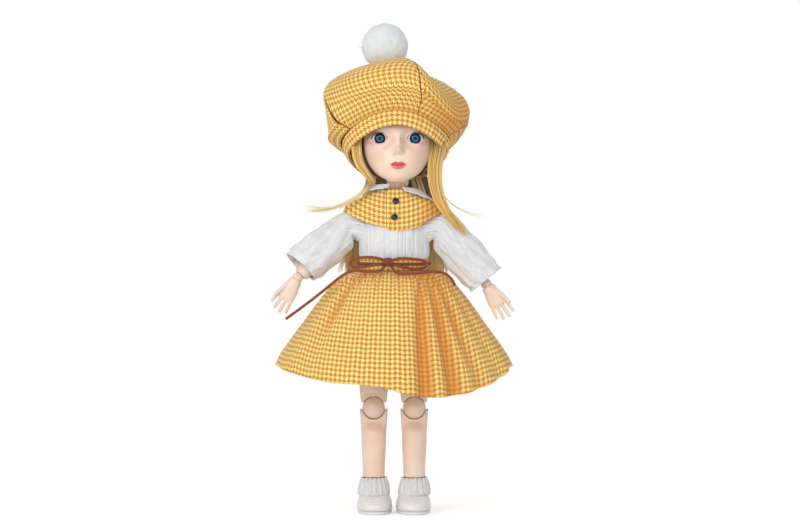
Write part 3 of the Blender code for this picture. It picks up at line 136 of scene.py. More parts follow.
class Graph:
    """The nodes of one material."""

    def __init__(self, name: str, world: bpy.types.World | None = None) -> None:
        """Make a material with one Principled shader, or take up a world's nodes."""
        self.material = world or bpy.data.materials.new(name)
        self.material.use_nodes = True
        self.tree = self.material.node_tree
        self.shader = self.tree.nodes["Background" if world else "Principled BSDF"]

    def node(self, kind: str, settings: dict | None = None, values: dict | None = None,
             out: int | str = 0) -> Wire:
        """Add a node.

        Args:
            kind: the node's type.
            settings: its own properties, and a ramp's stops.
            values: what its sockets hold, or the wires that feed them.
            out: the output that is wanted.

        Returns:
            The wire of that output.
        """
        node = self.tree.nodes.new(kind)
        for key, value in (settings or {}).items():
            if key == "stops":
                ramp = node.color_ramp
                for number, (place, colour) in enumerate(value):
                    stop = ramp.elements[number] if number < 2 else ramp.elements.new(place)
                    stop.position = place
                    stop.color = (*colour, 1.0)
            else:
                setattr(node, key, value)
        for key, value in (values or {}).items():
            self.feed(node.inputs[key], value)
        return Wire(self, node.outputs[out])

    def feed(self, socket: bpy.types.NodeSocket, value: "Wire | float | tuple") -> None:
        """Link a wire to a socket, or set the socket's value."""
        if isinstance(value, Wire):
            self.tree.links.new(value.socket, socket)
        elif isinstance(value, tuple) and socket.type == "RGBA":
            socket.default_value = (*value, 1.0)
        else:
            socket.default_value = value

    def mix(self, first: "Wire | Colour", second: "Wire | Colour", share: "Wire | float") -> Wire:
        """The colour a share of the way from the first to the second."""
        node = self.tree.nodes.new("ShaderNodeMix")
        node.data_type = "RGBA"
        for key, value in ((0, share), (6, first), (7, second)):
            self.feed(node.inputs[key], value)
        return Wire(self, node.outputs[2])

    def noise(self, where: Wire, scale: float, detail: float = 3.0, rough: float = 0.55) -> Wire:
        """Noise between 0 and 1."""
        return self.node("ShaderNodeTexNoise", None, {"Vector": where, "Scale": scale, "Detail": detail,
                                                      "Roughness": rough})

    def stretched(self, where: Wire, scale: tuple[float, float, float]) -> Wire:
        """A place scaled by its own amount along each axis."""
        return self.node("ShaderNodeMapping", None, {"Vector": where, "Scale": scale})

    def paint(self, name: str) -> Wire:
        """A value painted on the mesh."""
        return self.node("ShaderNodeAttribute", {"attribute_name": name}, None, "Fac")

    def cut(self) -> Wire:
        """The place on the flat cloth, in millimetres."""
        return self.node("ShaderNodeUVMap", {"uv_map": "Cut"})

    def place(self) -> Wire:
        """The place in the object's own space, in metres."""
        return self.node("ShaderNodeTexCoord", None, None, "Object")

    def split(self, where: Wire) -> tuple[Wire, Wire]:
        """The first two parts of a place."""
        node = self.tree.nodes.new("ShaderNodeSeparateXYZ")
        self.feed(node.inputs[0], where)
        return Wire(self, node.outputs[0]), Wire(self, node.outputs[1])

    def done(self, colour: Wire, roughness: "Wire | float", height: Wire | None = None, depth: float = 0.1,
             strength: float = 0.6, **constants: float) -> bpy.types.Material:
        """Feed the shader.

        Args:
            colour: its base colour.
            roughness: its roughness.
            height: a surface height between 0 and 1, if there is one.
            depth: what that height stands for, in millimetres.
            strength: how strongly the height shows.
            constants: other sockets of the shader, with _ for a space.

        Returns:
            The material.
        """
        self.feed(self.shader.inputs["Base Color"], colour)
        self.feed(self.shader.inputs["Roughness"], roughness)
        for key, value in constants.items():
            self.feed(self.shader.inputs[key.replace("_", " ")], value)
        if height is not None:
            normal = self.node("ShaderNodeBump", None, {"Height": height, "Distance": depth * MM,
                                                        "Strength": strength})
            self.feed(self.shader.inputs["Normal"], normal)
        return self.material


@dataclass(frozen=True)
class Vinyl:
    """Moulded plastic skin, with paint where a mesh carries it."""

    base: Colour = (0.87, 0.685, 0.56)
    warm: Colour = (0.84, 0.605, 0.465)
    lips: Colour = (0.68, 0.075, 0.095)
    blush: Colour = (0.84, 0.31, 0.25)
    line: Colour = (0.012, 0.035, 0.042)
    # the colour of painted shade on the face and neck, and of the brows
    shadow: Colour = (0.33, 0.14, 0.06)

    def make(self, painted: bool = False) -> bpy.types.Material:
        """The material; on a painted face, with lips, blush and lines, and painted shade from the shade paint."""
        graph = Graph("painted_vinyl" if painted else "vinyl")
        place = graph.place()
        mottle = graph.noise(place, 55.0, 2.0)
        colour = graph.mix(self.base, self.warm, mottle.smooth(0.3, 0.8))
        rough = 0.40 + 0.10 * graph.noise(place, 900.0, 2.0)
        if painted:
            colour = graph.mix(colour, self.blush, graph.paint("blush"))
            # painted shade, where the shade paint marks it
            colour = graph.mix(colour, self.shadow, graph.paint("shade"))
            colour = graph.mix(colour, self.lips, graph.paint("lips"))
            colour = graph.mix(colour, self.line, graph.paint("line"))
            rough = rough - 0.16 * graph.paint("lips")
        grain = graph.noise(place, 2600.0, 2.0)
        return graph.done(colour, rough, grain, 0.02, 0.35, Coat_Weight=0.12, Coat_Roughness=0.35)


@dataclass(frozen=True)
class EyeGlass:
    """A glass eye: pupil, ray marks, dark rim and white, by the distance from its axis."""

    pupil: Colour = (0.002, 0.004, 0.008)
    ring: Colour = (0.07, 0.28, 0.46)
    iris: Colour = (0.006, 0.05, 0.12)
    rim: Colour = (0.001, 0.006, 0.016)
    white: Colour = (0.78, 0.78, 0.79)

    def make(self) -> bpy.types.Material:
        """The material."""
        graph = Graph("eye_glass")
        out = graph.paint("out")
        rays = graph.noise(graph.stretched(graph.cut(), (5.0, 0.25, 1.0)), 1.0, 3.0)
        bright = (1.0 - out.smooth(1.4, 2.7)) * 0.6 + rays.smooth(0.5, 0.85) * 0.3
        iris = graph.mix(self.iris, self.ring, bright)
        colour = graph.mix(self.pupil, iris, out.smooth(1.1, 1.5))
        colour = graph.mix(colour, self.rim, out.smooth(2.3, 2.9))
        colour = graph.mix(colour, self.white, out.smooth(3.8, 4.1))
        return graph.done(colour, 0.06 + 0.04 * rays, None, Specular_IOR_Level=0.14)


@dataclass(frozen=True)
class BlondeHair:
    """Fine blonde fibre with its own tone in each strand, and painted shade where it starts under the hat and
    behind the head.
    """

    dark: Colour = (0.58, 0.29, 0.04)
    gold: Colour = (0.83, 0.53, 0.125)
    pale: Colour = (0.90, 0.72, 0.38)
    # the colour of painted shade where the hair starts under the hat and behind the head
    root: Colour = (0.11, 0.045, 0.015)

    def make(self) -> bpy.types.Material:
        """The material."""
        graph = Graph("blonde_hair")
        tone = graph.paint("tone")
        fine = graph.noise(graph.stretched(graph.cut(), (3.0, 0.06, 1.0)), 1.0, 3.0)
        mixed = tone * 0.7 + fine * 0.5
        colour = graph.mix(self.dark, self.gold, mixed.smooth(0.1, 0.6))
        colour = graph.mix(colour, self.pale, mixed.smooth(0.55, 1.1))
        colour = graph.mix(colour, self.root, graph.paint("root"))
        return graph.done(colour, 0.34 + 0.2 * fine, fine, 0.08, 0.5, Sheen_Weight=0.15)


@dataclass(frozen=True)
class Houndstooth:
    """Twill woven from four dark and four light threads both ways."""

    dark: Colour = (0.63, 0.205, 0.004)
    light: Colour = (0.92, 0.79, 0.31)
    # painted shade: the redder orange painted where the cloth lies in folds and hollows
    glow: Colour = (0.62, 0.17, 0.012)
    seam: Colour = (0.20, 0.06, 0.006)
    thread: float = 0.44
    edge: Colour = (0.78, 0.44, 0.07)

    def make(self) -> bpy.types.Material:
        """The material."""
        graph = Graph("houndstooth_twill")
        cut = graph.cut()
        slip = graph.noise(cut, 0.9, 2.0) * 0.22
        across, down = graph.split(cut)
        across = (across + slip) / self.thread
        down = (down + slip) / self.thread
        warp, weft = across.math("FLOOR"), down.math("FLOOR")
        over = (warp + weft).math("FLOORED_MODULO", 4.0).math("LESS_THAN", 2.0)
        warp_dark = warp.math("FLOORED_MODULO", 8.0).math("LESS_THAN", 4.0)
        weft_dark = weft.math("FLOORED_MODULO", 8.0).math("LESS_THAN", 4.0)
        dark = over * warp_dark + (1.0 - over) * weft_dark
        yarn = graph.noise(cut, 2.4, 2.0)
        colour = graph.mix(self.light, self.dark, dark)
        colour = graph.mix(colour, self.edge, yarn.smooth(0.5, 0.95) * 0.4)
        # painted shade, where the fold paint marks folds and hollows
        colour = graph.mix(colour, self.glow, graph.paint("fold"))
        colour = graph.mix(colour, self.seam, graph.paint("seam").smooth(0.55, 0.95))
        round_warp = (across.math("FRACT") * math.pi).math("SINE")
        round_weft = (down.math("FRACT") * math.pi).math("SINE")
        height = over * round_warp + (1.0 - over) * round_weft
        return graph.done(colour, 0.80 + 0.15 * yarn, height, 0.08, 0.45, Sheen_Weight=0.12,
                          Sheen_Roughness=0.5, Specular_IOR_Level=0.2)


@dataclass(frozen=True)
class Cotton:
    """Crinkled plain cotton, or felt when its fibre is long."""

    name: str = "white_cotton"
    base: Colour = (0.80, 0.80, 0.81)
    shade: Colour = (0.60, 0.62, 0.645)
    crinkle: float = 0.45
    fibre: float = 7.0
    depth: float = 0.35
    strength: float = 0.7

    def make(self) -> bpy.types.Material:
        """The material."""
        graph = Graph(self.name)
        cut = graph.cut()
        folds = graph.noise(graph.stretched(cut, (self.crinkle, self.crinkle * 0.45, 1.0)), 1.0, 4.0, 0.6)
        fibre = graph.noise(cut, self.fibre, 3.0)
        # painted shade: darker where the crinkle noise that also gives the bump is low
        colour = graph.mix(self.shade, self.base, (folds * 0.6 + fibre * 0.5).smooth(0.25, 0.7))
        return graph.done(colour, 0.78 + 0.18 * fibre, folds * 0.7 + fibre * 0.3, self.depth, self.strength,
                          Sheen_Weight=0.25, Sheen_Roughness=0.6, Specular_IOR_Level=0.2)


@dataclass(frozen=True)
class Hide:
    """Grained leather: the white of the shoes, or the brown suede of the cord."""

    name: str
    base: Colour
    worn: Colour
    rough: float
    grain: float
    depth: float
    coat: float

    def make(self) -> bpy.types.Material:
        """The material."""
        graph = Graph(self.name)
        cut = graph.cut()
        cells = graph.node("ShaderNodeTexVoronoi", None, {"Vector": cut, "Scale": self.grain})
        blotch = graph.noise(cut, 0.35 * self.grain, 3.0)
        colour = graph.mix(self.base, self.worn, blotch.smooth(0.4, 0.8))
        return graph.done(colour, self.rough + 0.15 * blotch, cells, self.depth, 0.5, Coat_Weight=self.coat,
                          Coat_Roughness=0.3)


@dataclass(frozen=True)
class Resin:
    """The polished dark resin of the buttons."""

    base: Colour = (0.004, 0.014, 0.011)
    cloud: Colour = (0.016, 0.05, 0.042)

    def make(self) -> bpy.types.Material:
        """The material."""
        graph = Graph("dark_resin")
        cloud = graph.noise(graph.place(), 420.0, 3.0)
        colour = graph.mix(self.base, self.cloud, cloud.smooth(0.4, 0.75))
        return graph.done(colour, 0.22 + 0.08 * cloud, None, Specular_IOR_Level=0.3)


class Dyes:
    """Every finish of the doll, made once."""

    def __init__(self) -> None:
        """Make the materials."""
        self.vinyl = Vinyl().make()
        self.face = Vinyl().make(painted=True)
        self.eye = EyeGlass().make()
        self.hair = BlondeHair().make()
        self.check = Houndstooth().make()
        self.cotton = Cotton().make()
        self.felt = Cotton("white_felt", (0.80, 0.83, 0.86), (0.62, 0.67, 0.71), 0.30, 3.2, 0.30, 0.9).make()
        self.shoe = Hide("shoe_leather", (0.83, 0.82, 0.80), (0.77, 0.75, 0.72), 0.38, 1.6, 0.05, 0.2).make()
        self.suede = Hide("brown_suede", (0.22, 0.043, 0.020), (0.37, 0.105, 0.06), 0.75, 2.2, 0.16,
                          0.0).make()
        self.resin = Resin().make()
        self.lash = Hide("lash_fibre", (0.012, 0.03, 0.036), (0.02, 0.05, 0.06), 0.5, 3.0, 0.02, 0.0).make()


# Shapes

def along(table: Sequence[Sequence[float]], where: "np.ndarray | float") -> np.ndarray:
    """Read a table along a smooth curve.

    Args:
        table: rows of a place and the values there, in order of place.
        where: the places that are asked for.

    Returns:
        A row of values for each place.
    """
    rows = np.asarray(table, dtype=float)
    place, values = rows[:, 0], rows[:, 1:]
    slope = np.gradient(values, place, axis=0)
    where = np.clip(np.atleast_1d(where), place[0], place[-1])
    leg = np.clip(np.searchsorted(place, where, side="right") - 1, 0, len(place) - 2)
    step = (place[leg + 1] - place[leg])[:, None]
    share = (where - place[leg])[:, None] / step
    square, cube = share ** 2, share ** 3
    start, end = values[leg], values[leg + 1]
    return (start * (2.0 * cube - 3.0 * square + 1.0) + slope[leg] * step * (cube - 2.0 * square + share)
            + end * (3.0 * square - 2.0 * cube) + slope[leg + 1] * step * (cube - square))


def loft(rings: "np.ndarray | list", steps: int) -> np.ndarray:
    """Rows of points on a smooth surface through a row of outlines.

    Args:
        rings: the outlines, each an array of points.
        steps: the rows made between two outlines.

    Returns:
        The rows.
    """
    rings = np.asarray(rings, dtype=float)
    ends = np.concatenate((2.0 * rings[:1] - rings[1:2], rings, 2.0 * rings[-1:] - rings[-2:-1]))
    rows = []
    for before, start, end, after in zip(ends, ends[1:], ends[2:], ends[3:]):
        for step in range(steps):
            share = step / steps
            rows.append(0.5 * (2.0 * start + (end - before) * share
                               + (2.0 * before - 5.0 * start + 4.0 * end - after) * share ** 2
                               + (3.0 * start - before - 3.0 * end + after) * share ** 3))
    rows.append(rings[-1])
    return np.array(rows)


def route(points: Sequence[Sequence[float]], spacing: float) -> np.ndarray:
    """Points about a spacing apart along a smooth curve through a route."""
    points = np.asarray(points, dtype=float)
    steps = max(2, round(float(np.linalg.norm(np.diff(points, axis=0), axis=1).mean()) / spacing))
    return loft(points, steps)


def stacked(*parts: "np.ndarray | float") -> np.ndarray:
    """Coordinates that are given one by one, each stretched to the shape of all."""
    return np.stack(np.broadcast_arrays(*parts), axis=-1)


def half_turn(degrees: np.ndarray) -> np.ndarray:
    """Degrees brought between -180 and 180."""
    return (degrees + 180.0) % 360.0 - 180.0


def closing(row: np.ndarray) -> np.ndarray:
    """A row as long as the given one, all in that one's middle, which closes a surface."""
    return np.repeat(row.mean(axis=0, keepdims=True), len(row), axis=0)


def fallen(points: np.ndarray) -> np.ndarray:
    """The length of cloth above each point in its own column."""
    steps = np.linalg.norm(np.diff(points, axis=0), axis=2)
    return np.concatenate((np.zeros((1, points.shape[1])), np.cumsum(steps, axis=0)))


def ring(centre: Sequence[float], half_width: float, front: float, back: float | None = None,
         sides: int = 48) -> np.ndarray:
    """A closed level outline, whose last point is its first again.

    Args:
        centre: its middle.
        half_width: its reach along X.
        front: its reach toward -Y.
        back: its reach toward +Y, or the same as the front.
        sides: its number of sides.

    Returns:
        The points.
    """
    turn = np.linspace(0.0, math.tau, sides + 1)
    depth = np.where(np.sin(turn) < 0.0, front, front if back is None else back)
    return np.array(centre) + stacked(half_width * np.cos(turn), depth * np.sin(turn), 0.0)


def cloth_lengths(points: np.ndarray) -> np.ndarray:
    """The place of each point on the flat: its distance along its row and down its column."""
    wide = np.linalg.norm(np.diff(points, axis=1), axis=2)
    flat = np.zeros((*points.shape[:2], 2))
    flat[:, 1:, 0] = np.cumsum(wide, axis=1).mean(axis=0)
    flat[..., 1] = fallen(points)
    return flat


def wander(x: np.ndarray, y: np.ndarray, seed: int, count: int = 6) -> np.ndarray:
    """A smooth random field of waves between about -1 and 1.

    Args:
        x: places along the first way.
        y: places along the second way.
        seed: what the waves are drawn from.
        count: the number of waves.

    Returns:
        The field at each place.
    """
    draw = random.Random(seed)
    field_sum = np.zeros(np.broadcast(x, y).shape)
    for _ in range(count):
        way, phase, speed = draw.uniform(0.0, math.tau), draw.uniform(0.0, math.tau), draw.uniform(0.6, 1.5)
        field_sum = field_sum + np.sin(speed * (x * math.cos(way) + y * math.sin(way)) + phase)
    return field_sum / math.sqrt(count * 1.5)


def crease(x: np.ndarray, at: float, width: float) -> np.ndarray:
    """A round dip of depth 1 at a place."""
    return np.exp(-((x - at) / width) ** 2)


def step_up(x: np.ndarray, low: float, high: float) -> np.ndarray:
    """A smooth step from 0 at low to 1 at high."""
    share = np.clip((x - low) / (high - low), 0.0, 1.0)
    return share * share * (3.0 - 2.0 * share)


class Surface:
    """Patches of surface, in millimetres, that become one mesh."""

    def __init__(self) -> None:
        """Start with no patches."""
        self.points: list[np.ndarray] = []
        self.quads: list[np.ndarray] = []
        self.cuts: list[np.ndarray] = []
        self.paints: list[dict[str, np.ndarray]] = []
        self.count = 0

    def patch(self, points: np.ndarray, cut: np.ndarray | None = None, **paint: "np.ndarray | float") -> None:
        """Add a patch.

        Args:
            points: rows and columns of points.
            cut: the same places on the flat cloth.
            paint: values painted on the points.
        """
        rows, columns = points.shape[:2]
        index = np.arange(rows * columns).reshape(rows, columns)
        quads = stacked(index[:-1, :-1], index[:-1, 1:], index[1:, 1:], index[1:, :-1]).reshape(-1, 4)
        flat = cloth_lengths(points) if cut is None else cut
        self.points.append(points.reshape(-1, 3))
        self.quads.append(quads + self.count)
        self.cuts.append(flat.reshape(-1, 2)[quads])
        self.paints.append({key: np.broadcast_to(value, (rows, columns)).reshape(-1)
                            for key, value in paint.items()})
        self.count += rows * columns

    def strand(self, path: np.ndarray, radii: "np.ndarray | float", sides: int = 6, flat: float = 1.0,
               **paint: "np.ndarray | float") -> None:
        """Add a round strand, closed at both ends.

        Args:
            path: the points that it follows.
            radii: its radius at each point.
            sides: its number of sides.
            flat: its thickness across, as a share of its width.
            paint: values painted along it.
        """
        count = len(path)
        radii = np.broadcast_to(radii, count)
        ahead = np.gradient(path, axis=0)
        ahead /= np.linalg.norm(ahead, axis=1)[:, None]
        side = np.cross(ahead[0], (0.0, 1.0, 0.0) if abs(ahead[0][1]) < 0.9 else (1.0, 0.0, 0.0))
        turn = np.linspace(0.0, math.tau, sides + 1)
        rows = []
        for place, way, radius in zip(path, ahead, radii):
            side = side - way * side.dot(way)
            side /= np.linalg.norm(side)
            other = np.cross(way, side)
            circle = np.outer(np.cos(turn), side) + flat * np.outer(np.sin(turn), other)
            rows.append(place + radius * circle)
        rows = [np.repeat(path[:1], sides + 1, axis=0), *rows, np.repeat(path[-1:], sides + 1, axis=0)]
        paint = {key: np.repeat(np.concatenate(([row[0]], row, [row[-1]]))[:, None], sides + 1, axis=1)
                 for key, row in ((key, np.broadcast_to(value, count)) for key, value in paint.items())}
        self.patch(np.array(rows), **paint)

    def build(self, name: str, material: bpy.types.Material, weld: float = 0.002) -> bpy.types.Object:
        """Make the object.

        Args:
            name: its name.
            material: its finish.
            weld: how near two points are that become one.

        Returns:
            The object.
        """
        mesh = bpy.data.meshes.new(name)
        corners = (np.concatenate(self.points) * MM).tolist()
        mesh.from_pydata(corners, [], np.concatenate(self.quads).tolist())
        layer = mesh.uv_layers.new(name="Cut")
        layer.uv.foreach_set("vector", np.concatenate(self.cuts).reshape(-1).astype(np.float32))
        for key in sorted({key for paint in self.paints for key in paint}):
            values = [paint.get(key, np.zeros(len(points)))
                      for paint, points in zip(self.paints, self.points)]
            layer = mesh.attributes.new(key, "FLOAT", "POINT")
            layer.data.foreach_set("value", np.concatenate(values).astype(np.float32))
        edit = bmesh.new()
        edit.from_mesh(mesh)
        bmesh.ops.remove_doubles(edit, verts=edit.verts, dist=weld * MM)
        bmesh.ops.recalc_face_normals(edit, faces=edit.faces)
        edit.to_mesh(mesh)
        edit.free()
        mesh.shade_smooth()
        mesh.materials.append(material)
        piece = bpy.data.objects.new(name, mesh)
        bpy.context.scene.collection.objects.link(piece)
        return piece


def one_patch(name: str, material: bpy.types.Material, points: np.ndarray, cut: np.ndarray | None = None,
              weld: float = 0.002, **paint: "np.ndarray | float") -> bpy.types.Object:
    """Make an object of one patch of surface.

    Args:
        name: its name.
        material: its finish.
        points: rows and columns of points, in millimetres.
        cut: the same places on the flat cloth.
        weld: how near two points are that become one.
        paint: values painted on the points.

    Returns:
        The object.
    """
    surface = Surface()
    surface.patch(points, cut, **paint)
    return surface.build(name, material, weld)


def bake_modifiers(piece: bpy.types.Object) -> bpy.types.Object:
    """Replace a piece's mesh by what its modifiers make of it."""
    ready = piece.evaluated_get(bpy.context.evaluated_depsgraph_get())
    mesh = bpy.data.meshes.new_from_object(ready)
    piece.modifiers.clear()
    piece.data = mesh
    mesh.shade_smooth()
    return piece


def thicken(piece: bpy.types.Object, thickness: float, offset: float = -1.0) -> bpy.types.Object:
    """Give a cloth its thickness, in millimetres."""
    solid = piece.modifiers.new("Thickness", "SOLIDIFY")
    solid.thickness = thickness * MM
    solid.offset = offset
    solid.use_even_offset = False
    return bake_modifiers(piece)


def settle(piece: bpy.types.Object, body: str, slot: Slot, *nodes: str) -> bpy.types.Object:
    """Let a piece ride on a body and stand for its CAD nodes.

    Args:
        piece: the piece.
        body: the body that carries it.
        slot: the record's slot that its finish comes from; not used.
        nodes: the CAD nodes that it replaces.

    Returns:
        The piece.
    """
    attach(piece, body)
    if nodes:
        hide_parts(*nodes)
    LOG.info("%s rides on %s", piece.name, body)
    return piece


def bridge(piece: bpy.types.Object, bodies: tuple[str, str], start: Sequence[float], end: Sequence[float],
           slot: Slot, *nodes: str) -> bpy.types.Object:
    """Bake a soft piece's place into its mesh, and hide the CAD nodes that it replaces.

    Args:
        piece: the piece.
        bodies: the body before start and the body after end.
        start: where the change begins, in millimetres; not used.
        end: where it ends; not used.
        slot: the record's slot that its finish comes from; not used.
        nodes: the CAD nodes that it replaces.

    Returns:
        The piece.
    """
    tuple(MM * v for v in start)
    tuple(MM * v for v in end)
    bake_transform(piece)
    if nodes:
        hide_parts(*nodes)
    LOG.info("%s turns between %s and %s", piece.name, *bodies)
    return piece


# Studio

@dataclass
class Studio:
    """The camera, the pale floor and the plain light."""

    eye: tuple[float, float, float] = (4.2, -2333.0, 230.0)
    aim_height: float = 173.1
    lens: float = 150.0
    floor_reach: float = 4000.0
    floor_colour: Colour = (0.86, 0.86, 0.86)
    floor_lift: float = 0.42
    sky: float = 0.64
    # name, place, size and level
    lamps: tuple = (("Key", (-760.0, -1250.0, 720.0), 700.0, 0.30),
                    ("Fill", (240.0, -1500.0, 190.0), 900.0, 0.24))
    lamp_aim: tuple[float, float, float] = (0.0, 0.0, 150.0)

    def build(self) -> None:
        """Set the camera, the floor and the light."""
        lens = bpy.data.cameras.new("Camera")
        lens.lens = self.lens
        lens.clip_end = 20.0
        camera = bpy.data.objects.new("Camera", lens)
        camera.location = [MM * v for v in self.eye]
        camera.rotation_euler = (math.atan2(-self.eye[1], self.eye[2] - self.aim_height), 0.0, 0.0)
        bpy.context.scene.collection.objects.link(camera)
        bpy.context.scene.camera = camera
        bpy.context.scene.view_settings.view_transform = "Standard"
        self.build_floor()
        self.build_light()
        LOG.info("studio is set")

    def seen(self, graph: Graph) -> Wire:
        """1 where a ray comes from the camera or from gloss or glass."""
        node = graph.tree.nodes.new("ShaderNodeLightPath")
        rays = [Wire(graph, node.outputs[name]) for name in ("Is Camera Ray", "Is Glossy Ray",
                                                             "Is Transmission Ray")]
        return rays[0].math("MAXIMUM", rays[1]).math("MAXIMUM", rays[2])

    def build_floor(self) -> None:
        """A level floor that shows white and keeps the doll's shadow."""
        reach = self.floor_reach
        floor = Surface()
        corners = [[(x, y, 0.0) for x in (-reach, reach)] for y in (-reach, reach)]
        floor.patch(np.array(corners, dtype=float))
        graph = Graph("studio_floor")
        glow = graph.mix((0.0, 0.0, 0.0), (self.floor_lift,) * 3, self.seen(graph))
        graph.feed(graph.shader.inputs["Emission Color"], glow)
        floor.build("studio_floor", graph.done(self.floor_colour, 0.9, Emission_Strength=1.0))

    def build_light(self) -> None:
        """A sky that shows white and two broad lamps at the front."""
        world = bpy.data.worlds.new("Sky")
        bpy.context.scene.world = world
        graph = Graph("", world)
        sky = graph.mix((self.sky,) * 3, (1.0, 1.0, 1.0), self.seen(graph))
        graph.feed(graph.shader.inputs["Color"], sky)
        for name, place, size, level in self.lamps:
            lamp = bpy.data.lights.new(name, "AREA")
            lamp.size = size * MM
            away = Vector(self.lamp_aim) - Vector(place)
            lamp.energy = level * (math.pi * away.length * MM) ** 2
            piece = bpy.data.objects.new(name, lamp)
            piece.location = Vector(place) * MM
            piece.rotation_euler = away.to_track_quat("-Z", "Y").to_euler()
            bpy.context.scene.collection.objects.link(piece)


# Belt

@dataclass
class Belt:
    """The suede cord round the waist, its knot, its two loops and its two free ends."""

    dyes: Dyes
    waist_height: float = 174.6
    half_width: float = 25.3
    half_depth: float = 19.9
    radius: float = 1.0
    flatness: float = 0.86
    knot: tuple[float, float, float] = (-4.0, -24.4, 176.1)
    knot_radius: float = 2.1
    loops: dict[str, tuple] = field(default_factory=lambda: {
        "right": ((-3.6, -0.2, 1.6), (-9.0, -1.4, 3.0), (-18.0, 0.0, 3.2), (-25.0, 3.0, 1.0),
                  (-26.6, 4.0, -1.2), (-24.0, 3.0, -3.4), (-16.0, 0.0, -3.2), (-9.0, -1.6, -1.8),
                  (-3.7, -0.6, -1.2)),
        "left": ((3.6, -0.2, 1.4), (9.0, -1.6, 2.6), (17.0, -0.6, 2.2), (24.0, 1.6, 1.0),
                 (27.0, 2.6, -1.0), (25.0, 2.0, -4.0), (17.0, -0.4, -4.6), (9.0, -2.2, -3.2),
                 (3.5, -1.2, -1.6))})
    tails: dict[str, tuple] = field(default_factory=lambda: {
        "right": ((-2.4, -0.8, -3.0), (-6.5, -4.0, -6.4), (-14.0, -5.4, -6.6), (-24.0, -4.0, -6.0),
                  (-32.0, -2.6, -9.5), (-42.0, -1.4, -17.5), (-52.0, -0.6, -25.5), (-62.0, 0.0, -33.0),
                  (-71.0, 0.4, -39.5)),
        "left": ((2.2, -0.8, -3.2), (6.0, -5.0, -7.4), (14.0, -6.4, -7.8), (24.0, -4.6, -7.4),
                 (33.0, 0.4, -6.6), (40.0, 4.0, -8.4), (44.4, 5.0, -12.4), (46.4, 5.4, -16.4))})

    def build(self) -> None:
        """Make the five pieces, the free ends first."""
        for side, places in self.tails.items():
            path = route(np.array(self.knot) + np.array(places), 1.6)
            piece = self.lay(f"cord_end_{side}", f"cord_tail_{side}", path)
        for side, places in self.loops.items():
            path = route(np.array(self.knot) + np.array(places), 1.2)
            self.lay(f"bow_loop_{side}", f"belt_loop_{side}", path)
        self.build_girdle()
        self.build_knot()

    def lay(self, name: str, node: str, path: np.ndarray) -> bpy.types.Object:
        """A length of the cord along a path."""
        cord = Surface()
        cord.strand(path, self.radius, 14, self.flatness)
        return settle(cord.build(name, self.dyes.suede), "pelvis", Slot.CORD, node)

    def build_girdle(self) -> None:
        """The cord round the waist."""
        turn = np.linspace(0.0, math.tau, 97)
        tube = np.linspace(0.0, math.tau, 15)
        thick = self.radius * np.cos(tube)[None, :]
        points = stacked((self.half_width + thick) * np.cos(turn)[:, None],
                         (self.half_depth + thick) * np.sin(turn)[:, None],
                         self.waist_height + self.radius * np.sin(tube))
        settle(one_patch("girdle", self.dyes.suede, points), "pelvis", Slot.CORD, "belt_cord")

    def build_knot(self) -> None:
        """Three turns of the cord drawn tight, with one turn across them."""
        wraps = np.linspace(0.0, 1.0, 60)
        turn = math.tau * 2.6 * wraps
        path = stacked(-2.3 + 4.6 * wraps, self.knot_radius * np.cos(turn), self.knot_radius * np.sin(turn))
        across = np.linspace(0.0, math.tau, 31)
        band = stacked(1.2 * np.cos(across) - 0.6 * np.sin(across), -0.5 + 2.5 * np.cos(across),
                       2.35 * np.sin(across))
        knot = Surface()
        knot.strand(np.array(self.knot) + path, self.radius, 12)
        knot.strand(np.array(self.knot) + band, self.radius * 0.95, 12)
        settle(knot.build("bow_knot", self.dyes.suede), "pelvis", Slot.CORD, "belt_knot")


# Head

